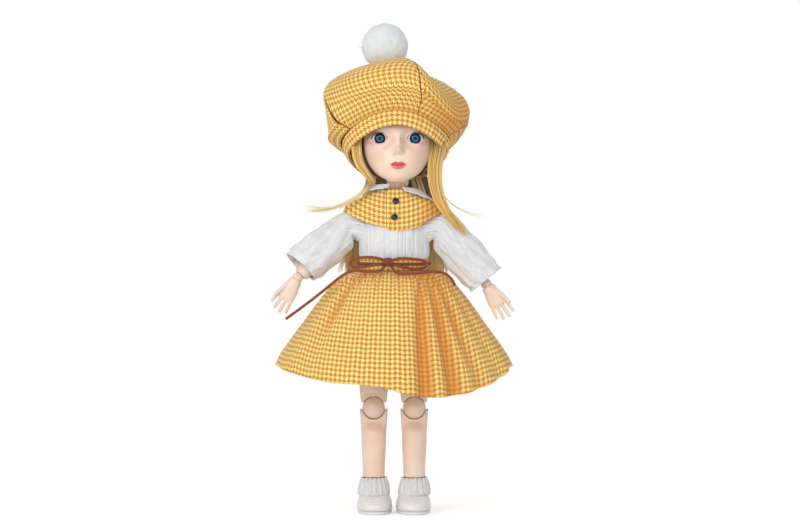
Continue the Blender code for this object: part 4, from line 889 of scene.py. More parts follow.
@dataclass
class Head:
    """The moulded head with its painted face, its glass eyes and its lashes."""

    dyes: Dyes
    lean: float = 2.5
    base: float = 231.4
    tall: float = 66.1
    half_width: float = 25.0
    front: float = 27.0
    back: float = 30.0
    eye_spacing: float = 12.3
    eye_inset: float = 17.4
    eye_height: float = 261.6
    eye_radius: float = 6.4
    lid_gap: float = 0.5
    lid_reach: float = 14.0
    lid_fold: float = 1.7
    socket_depth: float = 2.6
    lash_shell: float = 7.1
    opening_half_width: float = 5.35
    opening_top: float = 3.8
    opening_bottom: float = 3.45
    # height, half width, front and back, each as a share of the head's own size
    shares: tuple = ((0.0, 0.17, 0.86, -0.52), (0.025, 0.32, 0.92, -0.16), (0.08, 0.57, 0.955, 0.20),
                     (0.15, 0.76, 0.97, 0.52), (0.24, 0.91, 0.975, 0.80), (0.37, 1.0, 0.985, 0.97),
                     (0.50, 1.01, 0.985, 1.02), (0.63, 0.99, 0.93, 1.03), (0.76, 0.92, 0.76, 1.0),
                     (0.87, 0.76, 0.46, 0.88), (0.95, 0.52, 0.20, 0.66), (0.99, 0.26, -0.02, 0.44))

    def outline(self, heights: np.ndarray, turn: np.ndarray, grow: float = 0.0) -> np.ndarray:
        """Points of the head's egg shape.

        Args:
            heights: shares of the head's height, one a row.
            turn: angles round it, from +X over +Y, one a column.
            grow: how far outside the head the points lie.

        Returns:
            Rows and columns of points.
        """
        size = along(self.shares, heights)
        near = self.front * size[:, 1] + grow
        far = self.back * size[:, 2] + grow
        wide = self.half_width * size[:, 0] + grow
        depth, middle = (near + far) / 2.0, (far - near) / 2.0
        level = self.base + self.tall * heights + grow * (2.0 * heights - 1.0)
        return stacked(self.lean + np.outer(wide, np.cos(turn)),
                       middle[:, None] + np.outer(depth, np.sin(turn)), level[:, None])

    def build(self) -> None:
        """Make the head, the eyes and the lashes."""
        heights = np.concatenate(([0.0], np.linspace(0.004, 0.985, 250)))
        turn = np.concatenate((np.linspace(-math.pi, 0.0, 281), np.linspace(0.0, math.pi, 61)[1:]))
        points = self.outline(heights, turn)
        x, z = points[..., 0] - self.lean, points[..., 2]
        facing = np.clip(-np.sin(turn)[None, :], 0.0, 1.0) ** 0.5
        points[..., 1] -= self.relief(x, z) * facing
        line, near_eye = self.carve_eyes(points, facing)
        lips = self.lip_mask(x, z) * (facing > 0.2)
        blush = 0.18 * self.both(x, z, 14.0, 250.5, 6.5, 5.0)
        blush += 0.85 * self.both(x, z, 17.2, 259.0, 2.8, 1.6)
        blush += 0.22 * near_eye + 0.12 * self.dot(x, z, 0.9, 254.6, 3.0, 2.4)
        brow = sum(0.55 * np.exp(-((z - 271.8 + 0.035 * (np.abs(x) - 11.0) ** 2) / 0.55) ** 2)
                   * step_up(way * x, 5.5, 8.0) * (1.0 - step_up(way * x, 15.0, 18.0)) for way in (1.0, -1.0))
        # The shade paint is painted shade: on the upper sides of the face beside the locks, on the doll's left
        # side of the nose and beside its wing, in the nostrils, on the forehead under the hat's band and over the
        # doll's left half of the face. The brows are painted into it too.
        shade = 0.62 * step_up(np.abs(x), 20.5, 25.0) * step_up(z, 246.0, 256.0) + brow * 0.7
        shade += 0.26 * self.dot(x, z, 3.8, 258.5, 1.7, 4.5) + 0.30 * self.dot(x, z, 4.6, 253.6, 1.2, 2.0)
        shade += 0.34 * (self.dot(x, z, 2.5, 250.4, 1.4, 0.7) + self.dot(x, z, -2.2, 250.4, 1.4, 0.7))
        shade = (shade + 0.52 * step_up(z, 264.0, 270.5) + 0.14 * step_up(x, 3.0, 20.0)) * (facing > 0.0)
        chin, crown = closing(points[0])[None], closing(points[-1])[None] + (0.0, 0.0, 1.0)
        masks = {"line": line, "lips": lips, "blush": blush * facing, "shade": shade}
        masks = {key: np.concatenate((mask[1:2], mask[1:], mask[-1:])) for key, mask in masks.items()}
        piece = one_patch("head", self.dyes.face, np.concatenate((chin, points[1:], crown)), **masks)
        settle(piece, "head", Slot.VINYL, "head_shell", "head_cap")
        for side, sign in SIGN.items():
            self.build_eye(side, sign)
        self.build_lashes()

    @staticmethod
    def dot(x: np.ndarray, z: np.ndarray, at: float, height: float, wide: float, tall: float) -> np.ndarray:
        """A soft round dot of height 1."""
        return np.exp(-((x - at) / wide) ** 2 - ((z - height) / tall) ** 2)

    def both(self, x: np.ndarray, z: np.ndarray, at: float, *rest: float) -> np.ndarray:
        """A dot as far to the left as its twin is to the right."""
        return self.dot(x, z, at, *rest) + self.dot(x, z, -at, *rest)

    def relief(self, x: np.ndarray, z: np.ndarray) -> np.ndarray:
        """How far the face stands out from the egg, with its nose, lips, cheeks and chin.

        Args:
            x: places across the face, from its middle.
            z: heights.

        Returns:
            The relief in millimetres.
        """
        dot = self.dot
        nose_tall = np.where(z < 253.2, 1.9, 3.4)
        relief = 4.2 * np.exp(-(np.abs(x - 0.6) / 2.7) ** 2.2 - ((z - 253.2) / nose_tall) ** 2)
        relief += 1.6 * np.exp(-((x - 0.3) / 2.5) ** 2 - ((z - 259.0) / 5.0) ** 2)
        relief += 0.8 * (dot(x, z, -2.3, 252.2, 1.4, 1.4) + dot(x, z, 3.4, 252.2, 1.4, 1.4))
        relief -= 0.5 * (dot(x, z, -1.0, 250.8, 0.9, 0.5) + dot(x, z, 2.2, 250.8, 0.9, 0.5))
        relief += 1.3 * dot(x, z, 0.3, 244.4, 7.0, 4.2)
        bow = 1.0 - 0.25 * np.exp(-((x - 0.4) / 1.1) ** 2)
        relief += 1.0 * bow * dot(x, z, 0.4, 244.6, 4.2, 1.0) + 1.25 * dot(x, z, 0.4, 241.8, 3.6, 1.15)
        relief -= 1.0 * np.exp(-(np.abs(x - 0.4) / 5.4) ** 4 - ((z - self.parting(x)) / 0.34) ** 2)
        relief -= 0.8 * dot(x, z, 0.4, 239.7, 4.6, 1.2) + 0.35 * dot(x, z, 0.4, 248.8, 0.9, 1.8)
        relief += 1.6 * dot(x, z, 0.3, 236.0, 5.0, 3.0)
        relief += 1.1 * self.both(x, z, 12.5, 249.5, 6.5, 5.5)
        return relief

    @staticmethod
    def parting(x: np.ndarray) -> np.ndarray:
        """The height of the line between the lips."""
        return 243.1 - 0.45 * np.exp(-((x - 0.4) / 1.2) ** 2) + 0.0175 * (x - 0.4) ** 2

    def lip_mask(self, x: np.ndarray, z: np.ndarray) -> np.ndarray:
        """Where the lips are painted."""
        out = np.clip(1.0 - ((x - 0.4) / 5.8) ** 2, 0.0, 1.0)
        top = 243.35 + 2.55 * out ** 0.85 - 0.75 * np.exp(-((x - 0.4) / 1.0) ** 2)
        low = 243.15 - 2.8 * out ** 0.95
        tone = 1.0 - 0.25 * step_up(self.parting(x) - z, -0.2, 0.6)
        return tone * step_up(top - z, -0.25, 0.25) * step_up(z - low, -0.25, 0.25) * step_up(out, 0.0, 0.25)

    def eye_edge(self, across: np.ndarray, top: bool) -> np.ndarray:
        """The height of an eye opening's edge at a place across it."""
        high = self.opening_top if top else -self.opening_bottom
        out = np.clip(1.0 - (across / self.opening_half_width) ** 2, 0.0, 1.0)
        return high * out ** (0.56 if top else 0.62) - 0.05 * across

    def carve_eyes(self, points: np.ndarray, facing: np.ndarray) -> tuple[np.ndarray, np.ndarray]:
        """Shape the lids round the two eyes, and paint their edges.

        Args:
            points: the face's points, which are moved.
            facing: how squarely each column faces the front.

        Returns:
            The painted line, and the soft tone round the eyes.
        """
        line = np.zeros(points.shape[:2])
        tone = np.zeros(points.shape[:2])
        around = np.linspace(-self.opening_half_width, self.opening_half_width, 90)
        edge = np.concatenate([stacked(around, self.eye_edge(around, top)) for top in (True, False)])
        for sign in SIGN.values():
            a = sign * (points[..., 0] - self.lean) - self.eye_spacing
            b = points[..., 2] - self.eye_height
            spot = (a ** 2 + b ** 2 < self.lid_reach ** 2) & (np.broadcast_to(facing, a.shape) > 0.0)
            near_a, near_b = a[spot], b[spot]
            away = (near_a[:, None] - edge[:, 0]) ** 2 + (near_b[:, None] - edge[:, 1]) ** 2
            away = np.sqrt(away).min(axis=1)
            inside = ((np.abs(near_a) < self.opening_half_width) & (near_b < self.eye_edge(near_a, True))
                      & (near_b > self.eye_edge(near_a, False)))
            out = np.where(inside, -away, away)
            radius = np.sqrt(near_a ** 2 + near_b ** 2)
            lid = self.eye_radius + self.lid_gap
            bulge = np.clip(lid ** 2 - np.minimum(radius, 0.68 * lid) ** 2, 0.0, None)
            sphere = -self.eye_inset - np.sqrt(bulge)
            weight = 1.0 - step_up(out, 0.1, 4.0 + 2.2 * step_up(-near_a, -3.0, 4.0))
            level = points[..., 1][spot]
            level = level + (sphere - level) * weight
            level += self.socket_depth * step_up(-out, -0.10, 0.50)
            upper = step_up(near_b - 0.25 * np.abs(near_a), 0.0, 1.5)
            level += 0.30 * crease(out, self.lid_fold, 0.35) * upper
            points[..., 1][spot] = level
            outer = step_up(near_a, -5.0, 5.5)
            dark = (1.0 - step_up(out, 0.15 + 0.55 * outer, 0.5 + 0.8 * outer)) * step_up(near_b, -1.8, 0.6)
            faint = 0.25 * (1.0 - step_up(out, 0.1, 0.5)) * step_up(near_a, -4.0, 4.0)
            fold = 0.30 * crease(out, self.lid_fold, 0.3) * upper
            painted = np.where(inside, 0.0, np.maximum(dark, faint))
            line[spot] = np.maximum(line[spot], painted)
            tone[spot] = np.maximum(tone[spot], crease(np.clip(out, 0.0, None), 0.0, 2.0) * 0.8 + fold)
        return line, tone

    def build_eye(self, side: str, sign: float) -> None:
        """One ball eye, whose paint follows the distance from its axis."""
        polar = np.linspace(0.0, math.pi, 61)
        turn = np.linspace(0.0, math.tau, 65)
        around = np.outer(np.sin(polar), np.cos(turn)), np.outer(np.sin(polar), np.sin(turn))
        centre = (self.lean + sign * self.eye_spacing, -self.eye_inset, self.eye_height)
        points = stacked(centre[0] + self.eye_radius * around[0],
                         centre[1] - self.eye_radius * np.cos(polar)[:, None],
                         centre[2] + self.eye_radius * around[1])
        out = np.where(polar < math.pi / 2.0, self.eye_radius * np.sin(polar), 2.0 * self.eye_radius)
        cut = stacked(4.0 * np.sin(3.0 * turn)[None, :] + 9.0 * np.cos(turn)[None, :],
                      self.eye_radius * polar[:, None])
        piece = one_patch(f"glass_eye_{side}", self.dyes.eye, points, cut, out=out[:, None])
        settle(piece, "head", Slot.EYES, f"eye_{side}")

    def build_lashes(self) -> None:
        """Short curved lashes along the outer half of each upper lid."""
        lashes = Surface()
        draw = random.Random(5)
        for sign in SIGN.values():
            for number in range(13):
                across = -2.6 + 8.4 * number / 12.0
                height = float(self.eye_edge(np.array(across), True))
                radius = min(6.8, math.hypot(across, height))
                depth = -self.eye_inset - math.sqrt(max(0.2, self.lash_shell ** 2 - radius ** 2))
                long = 0.8 + 1.5 * number / 12.0 + draw.uniform(-0.1, 0.1)
                share = np.linspace(0.0, 1.0, 6)
                out = across / 6.0
                path = stacked(sign * (self.eye_spacing + across + long * out * share) + self.lean,
                               depth - 0.9 * long * share * (1.0 - 0.35 * share),
                               self.eye_height + height + long * 0.75 * share ** 1.6)
                lashes.strand(path, 0.16 * (1.0 - 0.85 * share), 4)
        settle(lashes.build("lashes", self.dyes.lash), "head", Slot.EYES)


# Wig

@dataclass
class Wig:
    """Long straight blonde hair: a cap, the fall behind the back, two locks and two wisps."""

    dyes: Dyes
    head: Head
    cap_grow: float = 1.6
    hairline: float = 275.4
    face_line: float = -10.8
    fall_top: float = 246.0
    hair_tip: float = 166.0

    def build(self) -> None:
        """Make the cap and the hair."""
        self.build_cap()
        self.build_fall()
        for side in SIGN:
            self.build_lock(side)

    def build_cap(self) -> None:
        """The hair that lies on the skull, combed down from the crown."""
        heights = np.linspace(0.085, 0.985, 110)
        turn = np.linspace(-math.pi, math.pi, 361)
        combed = 0.22 * np.sin(turn * 77.0)[None, :]
        combed = combed + 0.16 * wander(turn[None, :] * 30.0, heights[:, None] * 3.0, 3)
        points = self.head.outline(heights, turn, self.cap_grow)
        middle = np.array((self.head.lean, 3.0, 265.0))
        way = points - middle
        way /= np.linalg.norm(way, axis=2)[..., None]
        points += way * combed[..., None] * 0.8
        x, y, z = points[..., 0], points[..., 1], points[..., 2]
        open_face = (y < self.face_line) & (z < self.hairline)
        # the rows and columns inside the face opening are pulled to its edge
        points[..., 1] = np.where(open_face, self.face_line + 0.3 * np.sin(z * 2.0), y)
        share = (z.ravel() - self.head.base) / self.head.tall
        edge = 25.4 * along(self.head.shares, share)[:, 0].reshape(z.shape) - 1.0
        aside = np.maximum(np.abs(x - self.head.lean), edge)
        points[..., 0] = np.where(open_face, self.head.lean + np.sign(x - self.head.lean) * aside, x)
        cap = Surface()
        everywhere = np.concatenate((points, closing(points[-1])[None] + (0.0, 0.0, 0.8)))
        # painted shade: the tone follows the combing, darker in its grooves
        tone = np.concatenate((combed, combed[-1:])) * 1.2 + 0.45
        y, z = everywhere[..., 1], everywhere[..., 2]
        # painted shade: the hair beside the face below the hairline, which the hat's band shades, and a little
        # over the whole cap
        root = 0.75 * step_up(self.face_line + 16.0 - y, 0.0, 8.0) * step_up(self.hairline - z, 0.0, 4.0) + 0.2
        high = int(np.searchsorted(self.head.base + self.head.tall * heights, self.hairline))
        cut = stacked(turn[None, :] * 26.0, 70.0 * np.append(heights, 1.0)[:, None])
        cap.patch(everywhere[high:], cut[high:], tone=tone[high:], root=root[high:])
        behind = (turn >= 0.0) | (np.abs(np.sin(turn)) * self.head.front < -self.face_line)
        for part in self.runs(behind):
            cap.patch(everywhere[:high + 1, part], cut[:high + 1, part], tone=tone[:high + 1, part],
                      root=root[:high + 1, part])
        settle(cap.build("wig_cap_hair", self.dyes.hair), "head", Slot.HAIR, "wig_cap")

    @staticmethod
    def runs(keep: np.ndarray) -> list[slice]:
        """The unbroken stretches of columns that are kept."""
        edges = np.flatnonzero(np.diff(np.concatenate(([0], keep.astype(int), [0]))))
        return [slice(start, end) for start, end in zip(edges[::2], edges[1::2])]

    def hair(self, surface: Surface, guide: np.ndarray, count: int, spread: tuple[float, float],
             thickness: float, draw: random.Random, splay: float = 0.0, pale: float = 0.0) -> None:
        """Add strands that follow a guide.

        Args:
            surface: what the strands are added to.
            guide: the points of the guide, from where it grows to its tip.
            count: the number of strands.
            spread: how far aside and how deep the strands lie from the guide.
            thickness: a strand's radius.
            draw: the source of what varies.
            splay: how far the tips part.
            pale: how much paler than the rest the strands are.
        """
        rows = len(guide)
        share = np.linspace(0.0, 1.0, rows)
        for _ in range(count):
            aside, deep = draw.uniform(-1.0, 1.0), draw.uniform(-1.0, 1.0)
            wave, phase = draw.uniform(0.1, 0.5), draw.uniform(0.0, math.tau)
            ease = 1.0 + splay * share ** 2
            path = guide.copy()
            path[:, 0] += spread[0] * aside * ease + wave * np.sin(3.0 * share + phase)
            path[:, 1] += spread[1] * deep * (1.0 + 0.4 * share) + wave * np.cos(2.4 * share + phase)
            path[:, 2] += draw.uniform(-1.0, 1.0) * 3.0 * share ** 3
            radii = thickness * draw.uniform(0.7, 1.15) * np.clip(1.0 - share ** 3 * 0.9, 0.06, 1.0)
            # painted shade on the first third of each strand, which starts under the hat or behind the head
            surface.strand(path, radii, 5, 0.8, tone=draw.uniform(0.0, 1.0) + pale,
                           root=0.75 * (1.0 - step_up(share, 0.0, 0.3)))

    @staticmethod
    def fall_aside(share: np.ndarray) -> np.ndarray:
        """How far to the doll's left the long hair lies, from its top at 0 to its tip at 1."""
        return 1.2 + 2.6 * (1.0 - step_up(share, 0.35, 0.60))

    @staticmethod
    def fall_root_shade(share: np.ndarray) -> np.ndarray:
        """How much painted shade the long hair has, from its top at 0 to its tip at 1; its top lies in shade
        behind the head and neck.
        """
        return 0.95 * (1.0 - step_up(share, 0.26, 0.50))

    def build_fall(self) -> None:
        """The long hair behind the back, under the hat's band at its top."""
        draw = random.Random(11)
        fall = Surface()
        columns = np.linspace(-1.0, 1.0, 49)
        rows = np.linspace(0.0, 1.0, 40)
        tips = self.hair_tip + 2.2 * wander(columns * 12.0, np.zeros_like(columns), 12)
        # down, half width, distance behind and thickness
        table = ((0.0, 14.0, 25.6, 1.0), (0.13, 19.0, 25.8, 1.6), (0.25, 23.0, 26.2, 2.2),
                 (0.42, 26.0, 25.6, 2.5), (0.66, 33.0, 25.4, 2.5), (0.86, 35.0, 27.5, 2.0),
                 (1.0, 34.0, 32.0, 0.7))
        size = along(table, rows)
        top = self.fall_top
        for way in (-1.0, 1.0):
            level = top + rows[:, None] * (tips[None, :] - top)
            groove = 0.32 * np.sin(columns * 95.0)[None, :]
            groove = groove + 0.3 * wander(columns[None, :] * 9.0, rows[:, None], 8)
            bow = 2.0 * (1.0 - columns ** 2)[None, :]
            thick = size[:, 2][:, None] * np.sqrt(np.clip(1.02 - columns ** 2, 0.0, 1.0))[None, :]
            deep = size[:, 1][:, None] + bow + way * thick + way * groove
            aside = self.fall_aside(rows)[:, None] + size[:, 0][:, None] * columns[None, :]
            # painted light and shade: lighter on the ridges of the grooves and darker in them, lighter on the
            # lower part, which the arms shade, and painted shade at the top
            fall.patch(stacked(aside, deep, level), root=self.fall_root_shade(rows)[:, None],
                       tone=groove * 1.2 + 0.4 + 0.6 * step_up(rows, 0.45, 0.7)[:, None])
        share = np.linspace(0.0, 1.0, 22)
        size = along(table, share)
        strands = 230
        for number in range(strands):
            column = -1.0 + 2.0 * (number + draw.uniform(-0.5, 0.5)) / (strands - 1.0)
            column = max(-1.05, min(1.05, column))
            way = draw.choice((-1.0, 1.0, 1.0))
            curl = draw.uniform(-0.5, 0.5)
            thick = size[:, 2] * math.sqrt(max(0.05, 1.05 - column ** 2)) + 0.2
            deep = size[:, 1] + 2.0 * (1.0 - min(1.0, column ** 2)) + way * thick
            tip = self.hair_tip + draw.uniform(-4.0, 3.0)
            aside = (self.fall_aside(share) + size[:, 0] * column * (1.0 + 0.05 * share)
                     + curl * np.sin(3.0 * share))
            # painted light on the lower part of each strand, and painted shade at its top
            fall.strand(stacked(aside, deep, top + share * (tip - top)),
                        0.55 * np.clip(1.0 - share ** 4 * 0.9, 0.08, 1.0), 5, 0.8,
                        tone=draw.uniform(0.0, 1.0) + 0.5 * step_up(share, 0.45, 0.7),
                        root=self.fall_root_shade(share))
        for way, edge in ((1.0, 41.0), (-1.0, 36.0)):
            guide = route(((way * 12.0, 25.5, 246.0), (way * 18.0, 25.0, 226.0), (way * 25.0, 22.0, 205.0),
                           (way * 32.0, 20.5, 186.0), (way * edge, 20.0, 168.0)), 4.0)
            self.hair(fall, guide, 34, (3.4, 1.6), 0.5, draw, 0.3, 0.5)
        bridge(fall.build("hair_fall", self.dyes.hair, 0.0005), ("head", "neck"), (0.0, 28.0, 238.0),
               (0.0, 28.0, 206.0), Slot.HAIR, "hair_back")

    def build_lock(self, side: str) -> None:
        """The lock beside the face and the thin wisp that blows aside."""
        draw = random.Random(21 if side == "left" else 22)
        lock = Surface()
        if side == "left":
            guides = ((((30.4, -7.0, 268.0), (30.6, -9.8, 256.0), (28.8, -11.6, 244.0), (28.6, -12.8, 232.0),
                        (31.0, -13.0, 221.0), (35.8, -12.8, 211.5), (42.0, -12.0, 204.5), (49.0, -11.0, 197.0)),
                       100, (5.4, 2.3), 0.42, -0.55, 0.1),
                      (((27.5, -4.0, 240.0), (31.0, -9.0, 227.0), (40.0, -11.0, 216.0), (52.0, -9.0, 209.5),
                        (64.0, -6.0, 205.0)), 5, (0.5, 0.5), 0.18, 1.4, 0.3))
        else:
            guides = ((((-25.2, -7.0, 268.0), (-26.0, -10.0, 258.0), (-25.4, -12.0, 249.0), (-22.6, -14.0, 241.5),
                        (-17.8, -14.0, 235.5), (-13.8, -11.0, 230.5)), 58, (3.4, 1.8), 0.42, -0.5, 0.1),
                      (((-17.0, -4.0, 238.0), (-20.0, -11.0, 226.5), (-30.0, -14.0, 218.5), (-44.0, -12.0, 213.0),
                        (-60.0, -8.0, 212.5)), 34, (1.4, 1.0), 0.28, 1.6, 0.8))
        for places, count, spread, thickness, splay, pale in guides:
            self.hair(lock, route(places, 2.2), count, spread, thickness, draw, splay, pale)
        end = 214.0 if side == "left" else 226.0
        bridge(lock.build(f"face_lock_{side}", self.dyes.hair, 0.0005), ("head", "neck"), (0.0, 0.0, 243.0),
               (0.0, 0.0, end), Slot.HAIR, f"hair_lock_{side}")


# Beret

@dataclass
class Beret:
    """The gored crown, its folded band and the felt ball on top."""

    dyes: Dyes
    seat: tuple[float, float, float] = (1.5, 9.0, 287.0)
    edge: tuple[float, float, float] = (1.5, 0.0, 252.0)
    tilt: float = math.radians(20.0)
    band_tilt: float = math.radians(34.0)
    radius: float = 50.5
    half_height: float = 26.0
    band_half_width: float = 33.8
    band_half_depth: float = 36.6
    band_height: float = 10.0
    wall: float = 1.4
    side_lean: float = 0.085
    droop: float = 3.6
    # how far a rise goes back and up, for each millimetre
    rise_back: float = 0.342
    rise_up: float = 0.94
    ball_radius: float = 16.5
    ball_aside: float = 8.0
    # degrees round from the front toward the doll's left, at the widest part and at the band
    seams: tuple = ((-84.0, -57.0), (18.0, 23.0), (84.0, 78.0), (150.0, 150.0), (214.0, 220.0))
    # height and radius, as shares of the crown's half height and radius
    crown: tuple = ((1.0, 0.0), (0.99, 0.20), (0.93, 0.42), (0.76, 0.69), (0.46, 0.91), (0.10, 1.0),
                    (-0.26, 0.985))

    def axis(self, tilt: float) -> np.ndarray:
        """The way that an axis leaning back by a tilt points."""
        return np.array((0.0, math.sin(tilt), math.cos(tilt)))

    def build(self) -> None:
        """Make the crown, the band and the ball."""
        self.build_crown()
        self.build_band()
        self.build_ball()

    def seam_at(self, seam: tuple[float, float], down: np.ndarray) -> np.ndarray:
        """How far round a seam lies at each place down the crown."""
        return seam[0] + (seam[1] - seam[0]) * step_up(down, 0.42, 1.0)

    def sag(self, turn: np.ndarray) -> np.ndarray:
        """How far the front of the band hangs below a level hoop, by degrees round from the front."""
        front = np.cos(np.radians(turn))
        bow = np.sin(np.radians(turn)) ** 2 * np.clip(front, 0.0, 1.0) * 2.6
        return -self.droop * (0.28 + bow * 0.75) * step_up(front, -0.3, 0.3)

    def swell(self, turn: np.ndarray, down: np.ndarray) -> tuple[np.ndarray, np.ndarray]:
        """How far the crown stands out and up, round its axis and down its side.

        Args:
            turn: degrees round from the front, toward the doll's left.
            down: 0 at the top and 1 at the band.

        Returns:
            A factor of the radius, and a rise in millimetres.
        """
        body = step_up(down, 0.05, 0.30) * (1.0 - step_up(down, 0.80, 1.0))
        factor = np.ones(np.broadcast(turn, down).shape)
        for seam in self.seams:
            away = half_turn(turn - self.seam_at(seam, down))
            factor = factor + body * (0.042 * crease(away, 0.0, 11.0) - 0.024 * crease(away, 0.0, 1.6))
        factor = factor - 0.018 * body
        wave = half_turn(turn)
        rise = 1.6 * crease(wave, 12.0, 17.0) - 15.0 * crease(wave, 57.0, 27.0)
        rise = rise - 5.0 * crease(wave, -52.0, 36.0)
        rise = rise * step_up(down, 0.06, 0.45) * (1.0 - step_up(down, 0.60, 0.86))
        right = crease(wave, -82.0, 34.0)
        left = 0.4 * crease(wave, 88.0, 30.0)
        pouch = right * crease(down, 0.84, 0.13) + left * crease(down, 0.80, 0.12)
        factor = factor + 0.03 * pouch + 0.10 * right * crease(down, 0.93, 0.065)
        rise = rise - 8.0 * pouch
        ripple = 0.7 * wander(turn * 0.10, down * 5.0, 31, 8) * body
        return factor, rise + ripple

    def build_crown(self) -> None:
        """The crown in gores, each with its own straight weave."""
        mouth = np.array(self.edge) + self.axis(self.band_tilt) * (self.band_height + 0.3)
        crown = Surface()
        rows = np.linspace(0.0, 1.0, 96)
        last = tuple(angle + 360.0 for angle in self.seams[0])
        for start, end in zip(self.seams, (*self.seams[1:], last)):
            count = max(8, round((end[0] - start[0]) / 2.2))
            share = np.linspace(0.0, 1.0, count + 1)[None, :]
            near, far = self.seam_at(start, rows)[:, None], self.seam_at(end, rows)[:, None]
            turn = near + (far - near) * share
            points = self.crown_points(turn, rows, mouth)
            middle = (near + far) / 2.0
            flat_radius = np.linalg.norm(points[..., :2] - np.array(self.seat)[:2], axis=2)
            across = np.radians(turn - middle) * np.maximum(flat_radius, 4.0)
            down = fallen(points)[:, count // 2][:, None]
            sewn = np.clip(1.0 - np.minimum(share, 1.0 - share) * count, 0.0, 1.0)
            sewn = np.maximum(sewn * step_up(rows, 0.0, 0.1)[:, None], step_up(rows, 0.985, 1.0)[:, None])
            # painted shade: redder orange in the dent on the crown's side at the doll's left, through the fold
            # paint
            hollow = 0.40 * crease(half_turn(turn), 66.0, 30.0) * step_up(rows, 0.3, 0.5)[:, None]
            crown.patch(points, stacked(across + 11.0 * start[0], down), seam=sewn, fold=hollow)
        piece = crown.build("beret_crown", self.dyes.check, 0.004)
        settle(thicken(piece, self.wall), "hat", Slot.CHECK, "hat_crown")

    def crown_points(self, turn: np.ndarray, rows: np.ndarray, mouth: np.ndarray) -> np.ndarray:
        """Points of the crown's outer side.

        Args:
            turn: degrees round from the front, for each row and column.
            rows: 0 at the top and 1 at the band.
            mouth: the middle of the crown's mouth.

        Returns:
            Rows and columns of points.
        """
        up = self.axis(self.tilt)
        hoops = [(np.array(self.seat) + up * self.half_height * height, self.radius * out, self.radius * out,
                  self.tilt) for height, out in self.crown]
        last, wide, deep, tilt = hoops[-1]
        for share, bulge in ((0.33, 1.05), (0.66, 1.07), (1.0, 1.0)):
            hoops.append((last + (mouth - last) * share,
                          (wide + (self.band_half_width * 1.10 - wide) * share) * bulge,
                          (deep + (self.band_half_depth * 1.06 - deep) * share) * bulge,
                          tilt + (self.band_tilt - tilt) * share))
        table = [(number / (len(hoops) - 1), *centre, wide, deep, tilt)
                 for number, (centre, wide, deep, tilt) in enumerate(hoops)]
        size = along(table, rows)
        radians = np.radians(turn)
        factor, rise = self.swell(turn, rows[:, None])
        wide = size[:, 3][:, None] * factor * np.sin(radians)
        deep = -size[:, 4][:, None] * factor * np.cos(radians)
        lean = -size[:, 5][:, None]
        rise = rise - self.side_lean * wide * (1.0 - step_up(rows, 0.66, 1.0))[:, None]
        rise = rise + self.sag(turn) * step_up(rows, 0.62, 1.0)[:, None]
        points = stacked(size[:, 0][:, None] + wide,
                         size[:, 1][:, None] + deep * np.cos(lean) + rise * self.rise_back,
                         size[:, 2][:, None] + deep * np.sin(lean) + rise * self.rise_up)
        foot = np.array(self.seat) + up * self.half_height - (self.ball_aside, 0.0, 0.0)
        boss = 1.5 * np.exp(-(np.linalg.norm(points - foot, axis=2) / 9.0) ** 2)
        return points + boss[..., None] * up

    def build_band(self) -> None:
        """The folded band, soft at both edges and gathered a little."""
        turn = np.linspace(0.0, math.tau, 181)
        # height, outward growth and how far inside the wall it lies
        section = ((0.0, 0.0, 0.8), (-0.06, 0.0, 0.3), (0.02, 0.005, -0.1), (0.25, 0.055, 0.0),
                   (0.5, 0.10, 0.0), (0.75, 0.115, 0.0), (0.98, 0.10, 0.1), (1.03, 0.09, 0.9),
                   (0.98, 0.08, 1.6), (0.6, 0.09, 1.7), (0.25, 0.045, 1.6), (0.03, 0.0, 1.6), (0.0, 0.0, 0.8))
        rows = []
        up = self.axis(self.band_tilt)
        sag = self.sag(np.degrees(turn) + 90.0)
        for height, grow, inside in section:
            centre = np.array(self.edge) + up * self.band_height * height
            gather = 0.30 * np.sin(turn * 37.0 + 2.0 * np.sin(turn * 3.0))
            gather = gather * math.sin(math.pi * min(1.0, abs(height)))
            wide = self.band_half_width * (1.0 + grow) - inside + gather
            deep = self.band_half_depth * (1.0 + grow) - inside + gather
            flat = deep * np.sin(turn)
            rows.append(stacked(centre[0] + wide * np.cos(turn),
                                centre[1] + flat * math.cos(-self.band_tilt) + self.rise_back * sag,
                                centre[2] + flat * math.sin(-self.band_tilt) + self.rise_up * sag))
        piece = one_patch("beret_band", self.dyes.check, loft(rows, 3), weld=0.01)
        settle(piece, "hat", Slot.CHECK, "hat_band")

